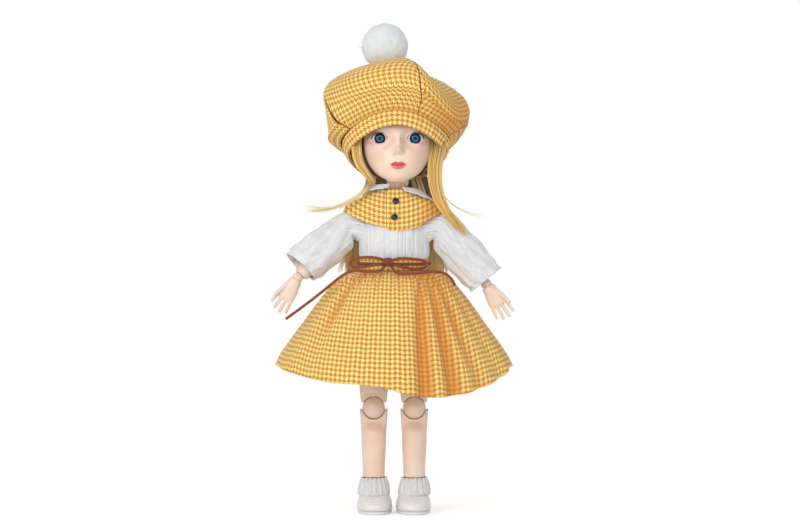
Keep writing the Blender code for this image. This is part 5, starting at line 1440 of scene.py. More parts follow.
    def build_ball(self) -> None:
        """The soft felt ball."""
        centre = (np.array(self.seat) + self.axis(self.tilt) * (self.half_height + self.ball_radius + 0.3)
                  - (self.ball_aside, 0.0, 0.0))
        polar = np.linspace(0.0, math.pi, 90)
        turn = np.linspace(0.0, math.tau, 161)
        way = stacked(np.outer(np.sin(polar), np.cos(turn)), np.outer(np.sin(polar), np.sin(turn)),
                      np.cos(polar)[:, None])
        waves = (((9.0, 4.0, -5.0), 0.4), ((-6.0, 9.0, 7.0), 1.9), ((11.0, -8.0, 6.0), 3.1),
                 ((5.0, 13.0, -9.0), 5.0), ((-17.0, 9.0, 13.0), 2.2), ((15.0, 15.0, -11.0), 0.9))
        lumps = sum(np.sin(way @ np.array(wave) + phase) for wave, phase in waves)
        points = centre + way * (self.ball_radius * 0.985 + 0.07 * lumps)[..., None]
        ball = Surface()
        ball.patch(points, stacked(self.ball_radius * turn[None, :], self.ball_radius * polar[:, None]))
        draw = random.Random(4)
        for _ in range(420):
            spot = np.array([draw.gauss(0.0, 1.0) for _ in range(3)])
            spot /= np.linalg.norm(spot)
            aside = np.cross(spot, (draw.uniform(-1.0, 1.0), draw.uniform(-1.0, 1.0), 0.3))
            share = np.linspace(0.0, 1.0, 5)[:, None]
            out = self.ball_radius * 0.97 + draw.uniform(0.4, 1.1) * share
            path = centre + (spot + aside * share * draw.uniform(0.02, 0.10)) * out
            ball.strand(path, 0.07 * (1.0 - 0.8 * share[:, 0]), 3)
        share = np.linspace(0.0, 1.0, 8)
        for lift in (-0.5, 0.0, 0.6):
            wisp = stacked(centre[0] - self.ball_radius * 0.97 - 3.4 * share, centre[1] - 2.0 + lift * share,
                           centre[2] - 0.6 + lift * 0.6 + (0.9 + lift) * share ** 2)
            ball.strand(wisp, 0.16 * (1.0 - 0.85 * share), 4)
        settle(ball.build("felt_ball", self.dyes.felt, 0.0005), "hat", Slot.FELT, "pompom")


# Limbs

def rim_angles(front: float, back: float, outer: float, inner: float, turn: np.ndarray,
               rounded: bool = False) -> np.ndarray:
    """How far down a ball a cup's rim reaches all the way round, in radians from the cup's pole."""
    ahead = np.abs(np.sin(turn))
    side = np.radians(np.where(np.cos(turn) > 0.0, outer, inner))
    end = np.radians(np.where(np.sin(turn) < 0.0, front, back))
    flat_cut = np.arcsin(np.clip(np.sin(end) / np.maximum(ahead, 0.001), 0.0, 1.0))
    straight = side + (end - side) * ahead * ahead
    arc = (flat_cut ** -12.0 + side ** -12.0) ** (-1.0 / 12.0)
    return np.where((np.sin(turn) < 0.0) & (end < side) & rounded, arc, straight)


def ball_rows(centre: Sequence[float], radius: "np.ndarray | float", polar: np.ndarray, way: float,
              turn: np.ndarray) -> np.ndarray:
    """An outline on a ball at polar angles that may change all the way round."""
    spread = radius * np.sin(polar)
    return np.array(centre) + stacked(spread * np.cos(turn), spread * np.sin(turn),
                                      way * radius * np.cos(polar))


def limb_frame(start: np.ndarray, end: np.ndarray) -> Matrix:
    """A frame at start whose -Z runs to end and whose -Y faces the front as nearly as it can."""
    z_axis = Vector(start - end).normalized()
    x_axis = Vector((0.0, 1.0, 0.0)).cross(z_axis).normalized()
    frame_at = Matrix((x_axis, z_axis.cross(x_axis), z_axis)).transposed().to_4x4()
    frame_at.translation = Vector(start)
    return frame_at


def moved(points: np.ndarray, matrix: Matrix) -> np.ndarray:
    """Points carried by a matrix."""
    grid = np.array(matrix)
    return points @ grid[:3, :3].T + grid[:3, 3]


@dataclass
class Limb:
    """A hollow limb cupped over the balls at its two ends, and those balls."""

    dyes: Dyes
    wall: float = 1.2
    cup_gap: float = 0.65
    sides: int = 56
    # whether a rim that rises at the front is cut round, instead of to a point
    rounded: bool = False

    def build(self, name: str, node: str, body: str, place: Matrix, length: float, top: tuple, bottom: tuple,
              sections: Sequence[tuple[float, float, float, float]]) -> None:
        """Make one limb along its frame's -Z.

        Args:
            name: the piece's name.
            node: the CAD node that it replaces.
            body: the body that it rides on.
            place: its frame.
            length: from ball to ball.
            top: the upper ball's radius, the four angles of the rim, and the wall.
            bottom: the same at the lower ball.
            sections: length share, half width, front and back.
        """
        turn = np.linspace(0.0, math.tau, self.sides + 1)
        radius, angles, wall = top
        cup, rim = radius + self.cup_gap, rim_angles(*angles, turn, self.rounded)
        rows = [ball_rows((0.0, 0.0, 0.0), cup, rim * share, -1.0, turn) for share in np.linspace(0.0, 1.0, 8)]
        rows += self.lip((0.0, 0.0, 0.0), cup, rim, wall, -1.0, turn)
        outer = [ball_rows((0.0, 0.0, 0.0), cup + wall, rim, -1.0, turn)]
        outer += [ring((0.0, 0.0, -length * share), half, front, back, self.sides)
                  for share, half, front, back in sections]
        low = (0.0, 0.0, -length)
        radius, angles, wall = bottom
        cup, rim = radius + self.cup_gap, rim_angles(*angles, turn, self.rounded)
        outer.append(ball_rows(low, cup + wall, rim, 1.0, turn))
        rows += list(loft(outer, 8))
        rows += self.lip(low, cup, rim, wall, 1.0, turn)[::-1]
        rows += [ball_rows(low, cup, rim * share, 1.0, turn) for share in np.linspace(1.0, 0.0, 8)]
        piece = one_patch(name, self.dyes.vinyl, moved(np.array(rows), place))
        settle(piece, body, Slot.VINYL, node)

    @staticmethod
    def lip(centre: Sequence[float], cup: float, rim: np.ndarray, wall: float, way: float,
            turn: np.ndarray) -> list[np.ndarray]:
        """The rounded edge of a cup, from its inner side to its outer side."""
        return [ball_rows(centre, cup + wall * share, rim + 0.30 * math.sin(math.pi * share) / cup, way, turn)
                for share in (0.1, 0.3, 0.5, 0.7, 0.9)]

    def ball(self, name: str, body: str, centre: np.ndarray, radius: float, peg_end: np.ndarray,
             peg_radius: float) -> None:
        """Make a ball with its peg.

        Args:
            name: the CAD node that it replaces.
            body: the body that it rides on.
            centre: the ball's middle.
            radius: its radius.
            peg_end: where its peg ends.
            peg_radius: the peg's radius.
        """
        turn = np.linspace(0.0, math.tau, 41)
        last = math.pi - math.asin(peg_radius / radius)
        rows = [ball_rows((0.0, 0.0, 0.0), radius, np.full(41, polar), 1.0, turn)
                for polar in np.linspace(0.0, last, 26)]
        long = float(np.linalg.norm(peg_end - centre))
        rows += [ring((0.0, 0.0, -long + drop), peg_radius * share, peg_radius * share, sides=40)
                 for drop, share in ((0.5, 1.0), (0.12, 0.9), (0.0, 0.7), (0.0, 0.0))]
        way = Vector(centre - peg_end).normalized()
        place = way.to_track_quat("Z", "Y").to_matrix().to_4x4()
        place.translation = Vector(centre)
        piece = one_patch(f"{name}_piece", self.dyes.vinyl, moved(np.array(rows), place))
        settle(piece, body, Slot.VINYL, name)


@dataclass
class Arm:
    """One arm with its balls, its hand and its sleeve."""

    dyes: Dyes
    side: str
    hand_droop: float
    cuff_share: float
    cuff_lift: float
    shoulder_radius: float = 5.6
    elbow_radius: float = 5.2
    wrist_radius: float = 3.8
    # how far each ball's peg reaches, and its radius
    shoulder_peg: tuple[float, float] = (16.0, 2.2)
    elbow_peg: tuple[float, float] = (11.0, 1.7)
    wrist_peg: tuple[float, float] = (8.5, 1.3)
    hand_stretch: float = 1.057
    sleeve_head: float = 10.2
    sleeve_wall: float = 0.55
    armhole_out: float = 23.6
    armhole_depth: float = 17.0

    def build(self) -> None:
        """Make the arm."""
        side, sign = self.side, SIGN[self.side]
        limbs = Limb(self.dyes)
        shoulder = JOINTS[f"shoulder_swing_{side}"]
        elbow = JOINTS[f"elbow_bend_{side}"]
        wrist = JOINTS[f"wrist_bend_{side}"]
        up = (shoulder - elbow) / np.linalg.norm(shoulder - elbow)
        upper = limb_frame(shoulder, elbow)
        fore = limb_frame(elbow, wrist)
        arm_radius = self.elbow_radius + limbs.cup_gap + limbs.wall
        thin = limbs.wall * 0.7
        wrist_wall = self.wrist_radius + limbs.cup_gap + thin
        middle = (arm_radius + wrist_wall) / 2.0
        balls = (("shoulder", shoulder, self.shoulder_radius, self.shoulder_peg, np.array((-sign, 0.0, 0.0))),
                 ("elbow", elbow, self.elbow_radius, self.elbow_peg, up),
                 ("wrist", wrist, self.wrist_radius, self.wrist_peg, up))
        for name, centre, radius, (reach, peg), way in balls:
            limbs.ball(f"{name}_ball_{side}", f"{name}_pivot_{side}", centre, radius, centre + way * reach, peg)
        limbs.build(f"upper_arm_piece_{side}", f"upper_arm_{side}", f"upper_arm_{side}", upper,
                    float(np.linalg.norm(elbow - shoulder)),
                    (self.shoulder_radius, (62.0, 62.0, 62.0, 62.0), limbs.wall),
                    (self.elbow_radius, (34.0, 62.0, 66.0, 66.0), limbs.wall),
                    [(0.27, *[arm_radius * 1.12] * 3), (0.50, *[arm_radius * 1.08] * 3),
                     (0.74, *[arm_radius] * 3)])
        limbs.build(f"forearm_piece_{side}", f"forearm_{side}", f"forearm_{side}", fore,
                    float(np.linalg.norm(wrist - elbow)),
                    (self.elbow_radius, (36.0, 74.0, 78.0, 78.0), limbs.wall),
                    (self.wrist_radius, (50.0, 50.0, 50.0, 50.0), thin),
                    [(0.28, *[arm_radius] * 3), (0.55, *[middle] * 3), (0.84, *[wrist_wall * 1.02] * 3)])
        self.build_hand(sign, limb_frame(wrist, wrist + (wrist - elbow)))
        self.build_sleeve(sign, shoulder, elbow, wrist)

    def build_hand(self, sign: float, place: Matrix) -> None:
        """A soft palm with four fanned fingers and a thumb along its outer edge."""
        hand = Surface()
        palm = ((-1.9, 4.3, 4.2), (-3.4, 4.7, 4.3), (-6.0, 5.1, 3.9), (-9.5, 6.0, 3.3), (-13.0, 6.5, 3.0),
                (-15.6, 6.2, 2.6), (-16.8, 5.4, 1.9))
        rows = [ring((0.0, -0.25 * (1.0 + z / 17.0), z), half, deep, sides=40) for z, half, deep in palm]
        rows = loft(rows, 4)
        hand.patch(np.concatenate((closing(rows[0])[None], rows, closing(rows[-1])[None])))
        share = np.linspace(0.0, 1.0, 12)
        # where each finger starts across the palm, its tip across and down, and its radius
        for start, aside, down, radius in ((-4.55, -6.6, 24.6, 1.38), (-1.60, -2.5, 27.4, 1.55),
                                           (1.50, 1.9, 28.0, 1.60), (4.55, 6.2, 26.2, 1.50)):
            path = stacked(start + (aside - start) * share, -0.2 - 2.6 * share ** 2.2,
                           -12.5 - (down - 12.5 - radius) * share * (1.0 - 0.03 * share))
            knuckle = 1.0 + 0.05 * np.cos(share * 3.0 * math.tau)
            hand.strand(path, radius * knuckle * (1.0 - 0.26 * share), 12, 0.94)
            self.round_tip(hand, path, radius * 0.74, 0.62)
        thumb = stacked(sign * (3.4 + 3.5 * share ** 0.8), -1.4 - 2.6 * share, -6.5 - 11.8 * share)
        hand.strand(thumb, 1.75 * (1.0 - 0.22 * share), 12)
        self.round_tip(hand, thumb, 1.36, 0.9)
        for number, points in enumerate(hand.points):
            points = points * (1.0, 1.0, self.hand_stretch)
            hand.points[number] = moved(points, place @ Matrix.Rotation(sign * self.hand_droop, 4, "Y"))
        piece = hand.build(f"hand_piece_{self.side}", self.dyes.vinyl, 0.0005)
        remesh = piece.modifiers.new("Fuse", "REMESH")
        remesh.mode = "VOXEL"
        remesh.voxel_size = 0.34 * MM
        relax = piece.modifiers.new("Relax", "SMOOTH")
        relax.factor = 0.6
        relax.iterations = 5
        bake_modifiers(piece)
        settle(piece, f"hand_{self.side}", Slot.VINYL, f"hand_{self.side}")

    @staticmethod
    def round_tip(hand: Surface, finger: np.ndarray, radius: float, long: float) -> None:
        """The round end that carries a finger on, by a share of its last step."""
        tip = finger[-1] + (finger[-1] - finger[-2]) * np.linspace(0.0, long, 5)[:, None]
        hand.strand(tip, radius * np.sqrt(np.clip(1.0 - np.linspace(0.0, 0.98, 5) ** 2, 0.0, 1.0)), 12)

    def build_sleeve(self, sign: float, shoulder: np.ndarray, elbow: np.ndarray, wrist: np.ndarray) -> None:
        """The wide crinkled sleeve, gathered at the armhole and open at the wrist."""
        long = wrist - shoulder
        way = long / np.linalg.norm(long)
        level = np.array((sign, 0.0, 0.0))
        armhole = np.array((sign * self.armhole_out, 0.0, shoulder[2] - 4.0))
        crown = shoulder + way * 3.1
        above = np.array((-way[2], 0.0, way[0])) * sign
        # share of the way to the cuff, how tall and deep the sleeve is there, and how far it has risen
        table = ((0.24, 12.3, 10.6, 0.0), (0.40, 13.5, 11.4, 0.1), (0.58, 14.2, 11.8, 0.3),
                 (0.78, 14.2, 11.8, 0.7), (0.92, 13.6, 11.4, 0.95), (1.0, 13.0, 11.0, 1.0))
        hoops = [(armhole, level, self.sleeve_head * 0.98, self.sleeve_head * 0.96),
                 (crown, level + way, self.sleeve_head * 0.98, self.sleeve_head)]
        hoops += [(shoulder + long * down * self.cuff_share + above * rise * self.cuff_lift, way, tall, deep)
                  for down, tall, deep, rise in table]
        turn = np.linspace(0.0, math.tau, 161)
        rows = []
        for centre, normal, tall, deep in hoops:
            normal = normal / np.linalg.norm(normal)
            back = np.array((0.0, 1.0, 0.0)) - normal * normal[1]
            back /= np.linalg.norm(back)
            high = np.cross(back, normal)
            rows.append(centre + np.outer(np.cos(turn), high) * tall + np.outer(np.sin(turn), back) * deep)
        # the first hoop lies on the side of the bodice
        rows[0][:, 0] *= np.sqrt(1.0 - (rows[0][:, 1] / self.armhole_depth) ** 2)
        points = loft(rows, 12)
        share = np.linspace(0.0, 1.0, len(points))[:, None]
        normal = points - points[:, :-1].mean(axis=1, keepdims=True)
        normal /= np.linalg.norm(normal, axis=2)[..., None]
        seed = 41 if sign > 0.0 else 42
        ring_x, ring_y = np.cos(turn)[None, :] * 5.0, np.sin(turn)[None, :] * 5.0
        crinkle = 0.75 * wander(ring_x * 1.5 + share * 9.0, ring_y * 1.5 - share * 4.0, seed, 9)
        crinkle += 0.34 * wander(ring_x * 4.0, ring_y * 4.0 + share * 16.0, seed + 7, 9)
        sag = 0.55 * np.sin(share * 26.0 + 1.5 * np.sin(turn * 2.0)[None, :])
        sag = sag * (0.3 + 0.7 * step_up(share, 0.2, 0.5))
        gathers = 0.45 * np.sin(turn * 24.0)[None, :] * (1.0 - step_up(share, 0.03, 0.25))
        flare = 0.25 * np.sin(turn * 5.0 + seed)[None, :] * step_up(share, 0.7, 1.0)
        cuff = -0.35 * crease(share, 0.935, 0.012) + flare
        points += normal * (crinkle + sag + gathers + cuff)[..., None] * 0.8
        cloth = one_patch(f"sleeve_cloth_{self.side}", self.dyes.cotton, points, weld=0.004)
        piece = thicken(cloth, self.sleeve_wall)
        bridge(piece, (f"elbow_pivot_{self.side}", f"forearm_{self.side}"), elbow - way * 5.0,
               elbow + way * 9.0, Slot.COTTON, f"sleeve_{self.side}")


@dataclass
class Leg:
    """One leg with its balls, its foot and its shoe."""

    dyes: Dyes
    side: str
    hip_radius: float = 9.3
    knee_radius: float = 8.0
    ankle_radius: float = 6.4
    ankle_wall: float = 0.7
    # how far each ball's peg reaches, and its radius
    hip_peg: tuple[float, float] = (12.6, 2.2)
    knee_peg: tuple[float, float] = (16.0, 2.4)
    # half width and depth at the thickest
    thigh: tuple[float, float] = (12.0, 12.4)
    shin: tuple[float, float] = (8.9, 9.6)
    shoe_half_width: float = 12.2
    toe: float = 24.0
    heel: float = 14.0
    shoe_height: float = 15.6
    sole: float = 2.2
    sole_gap: float = 0.3
    shoe_wall: float = 1.4
    lace_height: float = 9.0
    shoe_spacing: float = 13.6
    leg_spacing: float = 14.2
    # height, half width, toe and heel, as shares of the shoe
    shoe_shares: tuple = ((0.0, 0.94, 0.95, 0.95), (0.16, 1.0, 1.0, 1.0), (0.45, 0.98, 0.93, 0.97),
                          (0.72, 0.88, 0.74, 0.90), (0.90, 0.80, 0.58, 0.84), (1.0, 0.76, 0.52, 0.80))

    def build(self) -> None:
        """Make the leg."""
        side, sign = self.side, SIGN[self.side]
        limbs = Limb(self.dyes, sides=64, rounded=True)
        hip, knee, ankle = (JOINTS[f"{name}_{side}"] for name in ("hip_swing", "knee_bend", "ankle_bend"))
        outer, inner = (74.0, 22.0) if sign > 0.0 else (22.0, 74.0)
        wall = self.knee_radius + limbs.cup_gap + limbs.wall
        half, deep = self.thigh
        limbs.ball(f"hip_ball_{side}", f"hip_pivot_{side}", hip, self.hip_radius,
                   hip - np.array((sign * self.hip_peg[0], 0.0, 0.0)), self.hip_peg[1])
        limbs.ball(f"knee_ball_{side}", f"knee_pivot_{side}", knee, self.knee_radius,
                   knee + np.array((0.0, 0.0, self.knee_peg[0])), self.knee_peg[1])
        limbs.build(f"thigh_piece_{side}", f"thigh_{side}", f"thigh_{side}", Matrix.Translation(hip),
                    float(hip[2] - knee[2]), (self.hip_radius, (56.0, 56.0, outer, inner), limbs.wall),
                    (self.knee_radius, (20.0, 34.0, 65.0, 65.0), limbs.wall),
                    [(0.17, half, deep, deep), (0.36, half * 0.97, deep * 0.97, deep * 0.97),
                     (0.62, half * 0.86, deep * 0.86, deep * 0.86), (0.84, wall, wall, wall)])
        half, deep = self.shin
        low = self.ankle_radius + limbs.cup_gap + self.ankle_wall
        limbs.build(f"shin_piece_{side}", f"shin_{side}", f"shin_{side}", Matrix.Translation(knee),
                    float(knee[2] - ankle[2]), (self.knee_radius, (20.0, 40.0, 84.0, 84.0), limbs.wall),
                    (self.ankle_radius, (96.0, 96.0, 98.0, 98.0), self.ankle_wall),
                    [(0.33, half, deep * 0.95, deep), (0.52, half * 0.97, deep * 0.92, deep * 1.02),
                     (0.78, low * 1.03, low * 1.03, low * 1.03), (0.92, low, low, low)])
        self.build_foot(side, sign, ankle)
        self.build_shoe(side, sign)

    def print_ring(self, sign: float, height: float, width: float, toe: float, heel: float,
                   sides: int = 96) -> np.ndarray:
        """A level outline of the foot or the shoe, full at the toe."""
        share = width / self.shoe_half_width
        centre = sign * (self.leg_spacing + (self.shoe_spacing - self.leg_spacing) * share)
        turn = np.linspace(0.0, math.tau, sides + 1)
        cosine, sine = np.cos(turn), np.sin(turn)
        power = np.where(sine < 0.0, 0.88, 0.95)
        across = np.sign(cosine) * np.abs(cosine) ** power
        depth = np.where(sine < 0.0, toe, heel) * np.sign(sine) * np.abs(sine) ** power
        return stacked(centre + width * across, depth, height)

    def last(self, sign: float, slack: float, lift: float, sides: int = 96) -> list[np.ndarray]:
        """Outlines of the shoe from its floor to its mouth.

        Args:
            sign: 1 for the left shoe and -1 for the right.
            slack: how far inside the shoe's outer side they lie.
            lift: how far the lowest is raised.
            sides: their number of sides.

        Returns:
            The outlines.
        """
        floor = self.sole + self.sole_gap
        tall = self.shoe_height - floor
        return [self.print_ring(sign, floor + tall * height + (lift if height == 0.0 else 0.0),
                                self.shoe_half_width * width - slack, self.toe * toe - slack,
                                self.heel * heel - slack, sides)
                for height, width, toe, heel in self.shoe_shares]

    def build_foot(self, side: str, sign: float, ankle: np.ndarray) -> None:
        """The foot inside the shoe, with its ankle ball."""
        rows = self.last(sign, self.shoe_wall + 0.9, 1.9, 64)
        turn = np.linspace(0.0, math.tau, 65)
        cover = [ball_rows(ankle, self.ankle_radius, np.full(65, math.radians(polar)), 1.0, turn)
                 for polar in (118.0, 100.0, 85.0, 70.0, 55.0, 40.0, 25.0, 12.0, 0.0)]
        points = np.concatenate((closing(rows[0])[None], rows, cover))
        piece = one_patch(f"foot_piece_{side}", self.dyes.vinyl, points)
        settle(piece, f"foot_{side}", Slot.VINYL, f"foot_{side}")

    def build_shoe(self, side: str, sign: float) -> None:
        """The shoe's upper with its toe cap and welt, its sole and its ruffled lace."""
        outside = loft(self.last(sign, 0.0, 0.0), 9)
        centre = np.array((sign * self.shoe_spacing, 0.0, 0.0))
        out = outside - centre
        out[..., 2] = 0.0
        out /= np.linalg.norm(out, axis=2)[..., None]
        reach = np.clip(-outside[..., 1] / self.toe, 0.0, 1.0)
        bead = 0.50 * np.exp(-((outside[..., 2] - 3.7) / 0.75) ** 2)
        cap = 0.42 * np.exp(-((reach - 0.60) / 0.028) ** 2) * step_up(reach, 0.2, 0.4)
        cap += 0.30 * step_up(reach, 0.60, 0.63)
        stitch = -0.16 * np.exp(-((outside[..., 2] - 5.2) / 0.35) ** 2)
        outside += out * (bead + cap + stitch)[..., None]
        inside = np.array(self.last(sign, self.shoe_wall, self.shoe_wall))[::-1]
        lip = (outside[-1] + inside[0]) / 2.0 + (0.0, 0.0, 0.45)
        points = np.concatenate((closing(outside[0])[None], outside, lip[None], inside,
                                 closing(inside[-1])[None]))
        piece = one_patch(f"shoe_leather_{side}", self.dyes.shoe, points)
        settle(piece, f"foot_{side}", Slot.SHOES, f"shoe_upper_{side}")
        welt = ((0.0, 0.0), (0.0, 0.90), (0.04, 0.95), (0.3, 0.985), (0.8, 0.99), (1.0, 0.965), (1.0, 0.0))
        rows = [self.print_ring(sign, self.sole * level, self.shoe_half_width * share, self.toe * share,
                                self.heel * share) for level, share in welt]
        piece = one_patch(f"shoe_base_{side}", self.dyes.shoe, np.array(rows))
        settle(piece, f"foot_{side}", Slot.SHOES, f"shoe_sole_{side}")
        self.build_lace(side, sign)

    def build_lace(self, side: str, sign: float) -> None:
        """The gathered lace that falls from the ankle over the shoe's mouth."""
        turn = np.linspace(0.0, math.tau, 313)
        low = self.shoe_height - 2.4
        rows = []
        for rise in np.linspace(0.0, 1.0, 16):
            wide, toe, heel = 10.9 - 2.3 * rise, 17.6 - 8.6 * rise ** 0.8, 13.2 - 4.4 * rise
            lumps = 0.55 * np.sin(turn * 17.0 + 1.5 * rise) + 0.30 * np.sin(turn * 29.0 + 1.0 - 2.0 * rise)
            lumps = lumps * (1.0 - 0.45 * math.sin(math.pi * rise)) + 0.8 * math.sin(math.pi * rise)
            depth = np.where(np.sin(turn) < 0.0, toe, heel)
            height = low + rise * (self.shoe_height + self.lace_height - low) + 0.4 * np.cos(turn * 17.0)
            rows.append(stacked(sign * self.leg_spacing + (wide + lumps) * np.cos(turn),
                                (depth + lumps) * np.sin(turn), height))
        piece = thicken(one_patch(f"shoe_ruffle_{side}", self.dyes.cotton, np.array(rows), weld=0.003), 0.3)
        settle(piece, f"foot_{side}", Slot.COTTON, f"shoe_lace_{side}")


# Clothes

@dataclass
class Skirt:
    """The gathered skirt, its hem and its waistband."""

    dyes: Dyes
    top: float = 169.7
    depth_share: float = 0.82
    hem_radius: float = 82.0
    wall: float = 0.7
    band_top: float = 178.0
    band_half_width: float = 24.0
    band_half_depth: float = 18.6
    # degrees round from the front toward the doll's left, and the height of the hem there
    hem: tuple = ((-180.0, 98.0), (-135.0, 100.5), (-90.0, 104.6), (-57.6, 100.0), (-35.5, 95.2),
                  (-4.0, 91.2), (7.5, 86.5), (24.0, 84.5), (38.5, 87.0), (57.0, 93.5), (79.0, 101.9),
                  (90.0, 103.5), (135.0, 100.5), (180.0, 98.0))
    # degrees round, depth in millimetres, width in degrees, lean round at the waist, and share left at the hem
    creases: tuple = ((-172.0, 5.0, 7.0, 0.0, 1.0), (-146.0, 5.5, 7.0, 0.0, 1.0), (-120.0, 4.5, 7.0, 0.0, 1.0),
                      (-97.0, 3.0, 6.0, 0.0, 1.0), (-75.0, 2.4, 6.0, 8.0, 0.5), (-51.0, 4.6, 5.0, 16.0, 0.15),
                      (-26.0, 2.0, 4.0, -22.0, 0.0), (12.0, 7.5, 4.6, 44.0, 1.0), (28.5, 6.8, 4.8, 34.0, 1.0),
                      (44.0, 5.4, 4.6, 24.0, 0.7), (61.0, 3.6, 5.0, 14.0, 0.6), (80.0, 3.0, 6.0, 0.0, 1.0),
                      (98.0, 4.0, 6.0, 0.0, 1.0), (120.0, 5.5, 7.0, 0.0, 1.0), (143.0, 5.0, 7.0, 0.0, 1.0),
                      (165.0, 5.0, 7.0, 0.0, 1.0))
    # share of the fall and half width
    profile: tuple = ((0.0, 23.7), (0.02, 29.5), (0.06, 35.5), (0.12, 40.5), (0.19, 45.0), (0.36, 54.0),
                      (0.53, 62.0), (0.75, 72.5), (0.90, 79.0), (1.0, 82.0))

    def build(self) -> None:
        """Make the skirt and the waistband."""
        self.build_cloth()
        self.build_band()

    def build_cloth(self) -> None:
        """The cloth with its folds."""
        turn = np.linspace(-180.0, 180.0, 721)
        down = np.concatenate((np.linspace(0.0, 0.12, 14)[:-1], np.linspace(0.12, 1.0, 74)))[:, None]
        radians = np.radians(turn)
        sine, cosine = np.sin(radians)[None, :], np.cos(radians)[None, :]
        wide = along(self.profile, down[:, 0])
        upper = (wide[:1] / wide) ** 2
        fold = np.zeros((len(down), len(turn)))
        for at, depth, width, lean, left in self.creases:
            away = half_turn(turn[None, :] - at - lean * upper)
            faded = 1.0 - (1.0 - left) * step_up(down, 0.30, 0.85)
            fold = fold - depth * faded * crease(away, 0.0, width * (1.0 + 0.7 * upper))
        grow = step_up(down, 0.0, 0.05) * (0.26 + 0.74 * down ** 0.8)
        ruck = (0.80 * np.sin(radians * 50.0) + 0.50 * np.sin(radians * 33.0 + 1.0))[None, :]
        ruck = ruck * (1.0 - step_up(down, 0.02, 0.28)) * step_up(down, 0.0, 0.02)
        soft = 0.5 * wander(radians[None, :] * 9.0, down * 4.0, 51) * step_up(down, 0.1, 0.4)
        out = wide + (fold + 1.9 + 0.5 * np.sin(radians * 5.0 + 0.8)) * grow + ruck + soft
        waist_share = self.band_half_depth / self.band_half_width
        deep = waist_share + (self.depth_share - waist_share) * np.minimum(1.0, down * 5.0)
        fall = (self.top - along(self.hem, turn)[:, 0])[None, :] * down
        stitch = 0.30 * crease(down, 0.972, 0.006)
        points = stacked((out - stitch) * sine, -(out * deep - stitch) * cosine, self.top - fall)
        flat = stacked(radians[None, :] * self.hem_radius * (wide / self.hem_radius) ** 0.65, fallen(points))
        # painted shade: redder orange in the folds and in the gathers under the waistband, through the fold paint
        glow = 0.66 * step_up(-fold, 1.0, 5.6) * (0.70 + 0.30 * step_up(down, 0.02, 0.35))
        glow = np.maximum(glow, 0.42 * step_up(-ruck, 0.1, 0.9))
        cloth = one_patch("skirt_cloth", self.dyes.check, points, flat, 0.003, fold=glow,
                          seam=0.72 * crease(down, 0.972, 0.004))
        piece = thicken(cloth, self.wall)
        settle(piece, "pelvis", Slot.CHECK, "skirt")

    def build_band(self) -> None:
        """The waistband under the cord."""
        turn = np.linspace(0.0, math.tau, 145)
        # height as a share, and how far inside the outer side
        section = ((-0.02, 0.5), (0.02, -0.02), (0.2, -0.05), (0.5, -0.10), (0.8, -0.05), (0.98, -0.02),
                   (1.02, 0.5), (0.95, 1.0), (0.05, 1.0), (-0.02, 0.5))
        rows = []
        for height, inside in section:
            pleat = 0.12 * np.sin(turn * 48.0) * (inside < 0.4)
            rows.append(stacked((self.band_half_width - inside + pleat) * np.cos(turn),
                                (self.band_half_depth - inside + pleat) * np.sin(turn),
                                self.top + 0.3 + (self.band_top - self.top - 0.3) * height))
        piece = one_patch("waistband_cloth", self.dyes.check, loft(rows, 3), weld=0.004)
        settle(piece, "pelvis", Slot.CHECK, "waistband")


@dataclass
class Blouse:
    """The pleated bodice of the blouse."""

    dyes: Dyes
    low: float = 178.0
    high: float = 210.0
    half_width: float = 23.7
    half_depth: float = 18.6
    # pleats across the front, and height, width and depth as shares
    pleats: tuple[float, ...] = (-17.0, -6.3, 3.5, 6.3, 8.4, 14.7, 21.0)
    shares: tuple = ((0.0, 1.0, 1.0), (0.10, 1.03, 1.06), (0.30, 1.035, 1.09), (0.50, 1.03, 1.05),
                     (0.68, 1.02, 0.93), (0.78, 1.0, 0.86), (1.0, 0.95, 0.84))

    def build(self) -> None:
        """Make the bodice."""
        turn = np.linspace(-180.0, 180.0, 481)
        rows = np.linspace(0.0, 1.0, 48)
        radians = np.radians(turn)
        size = along(self.shares, rows)
        wide, deep = self.half_width * size[:, 0], self.half_depth * size[:, 1]
        across = wide.max() * np.sin(radians)
        front = np.cos(radians) > 0.0
        pleat = -0.5 * np.abs(np.sin(radians * 9.0)) * ~front
        for at in self.pleats:
            pleat += (0.25 * crease(across, at + 1.3, 0.9) - 0.85 * crease(across, at, 0.55)) * front
        crinkle = 0.26 * wander(radians[None, :] * 16.0, rows[:, None] * 6.0, 61, 9)
        crinkle += 0.14 * wander(radians[None, :] * 40.0, rows[:, None] * 19.0, 62, 9)
        puff = 0.5 * np.sin(radians * 30.0)[None, :] * (1.0 - step_up(rows, 0.0, 0.22))[:, None]
        out = pleat[None, :] * (0.5 + 0.5 * np.sin(math.pi * rows))[:, None] + crinkle + puff
        out = out * np.minimum(1.0, 0.3 + rows * 8.0)[:, None]
        points = stacked((wide[:, None] + out) * np.sin(radians)[None, :],
                         -(deep[:, None] + out) * np.cos(radians)[None, :],
                         (self.low + (self.high - self.low) * rows)[:, None])
        piece = thicken(one_patch("bodice_cloth", self.dyes.cotton, points, weld=0.003), 0.6)
        bridge(piece, ("waist_ball", "chest"), (0.0, 0.0, 177.0), (0.0, 0.0, 188.0), Slot.COTTON, "blouse_bodice")


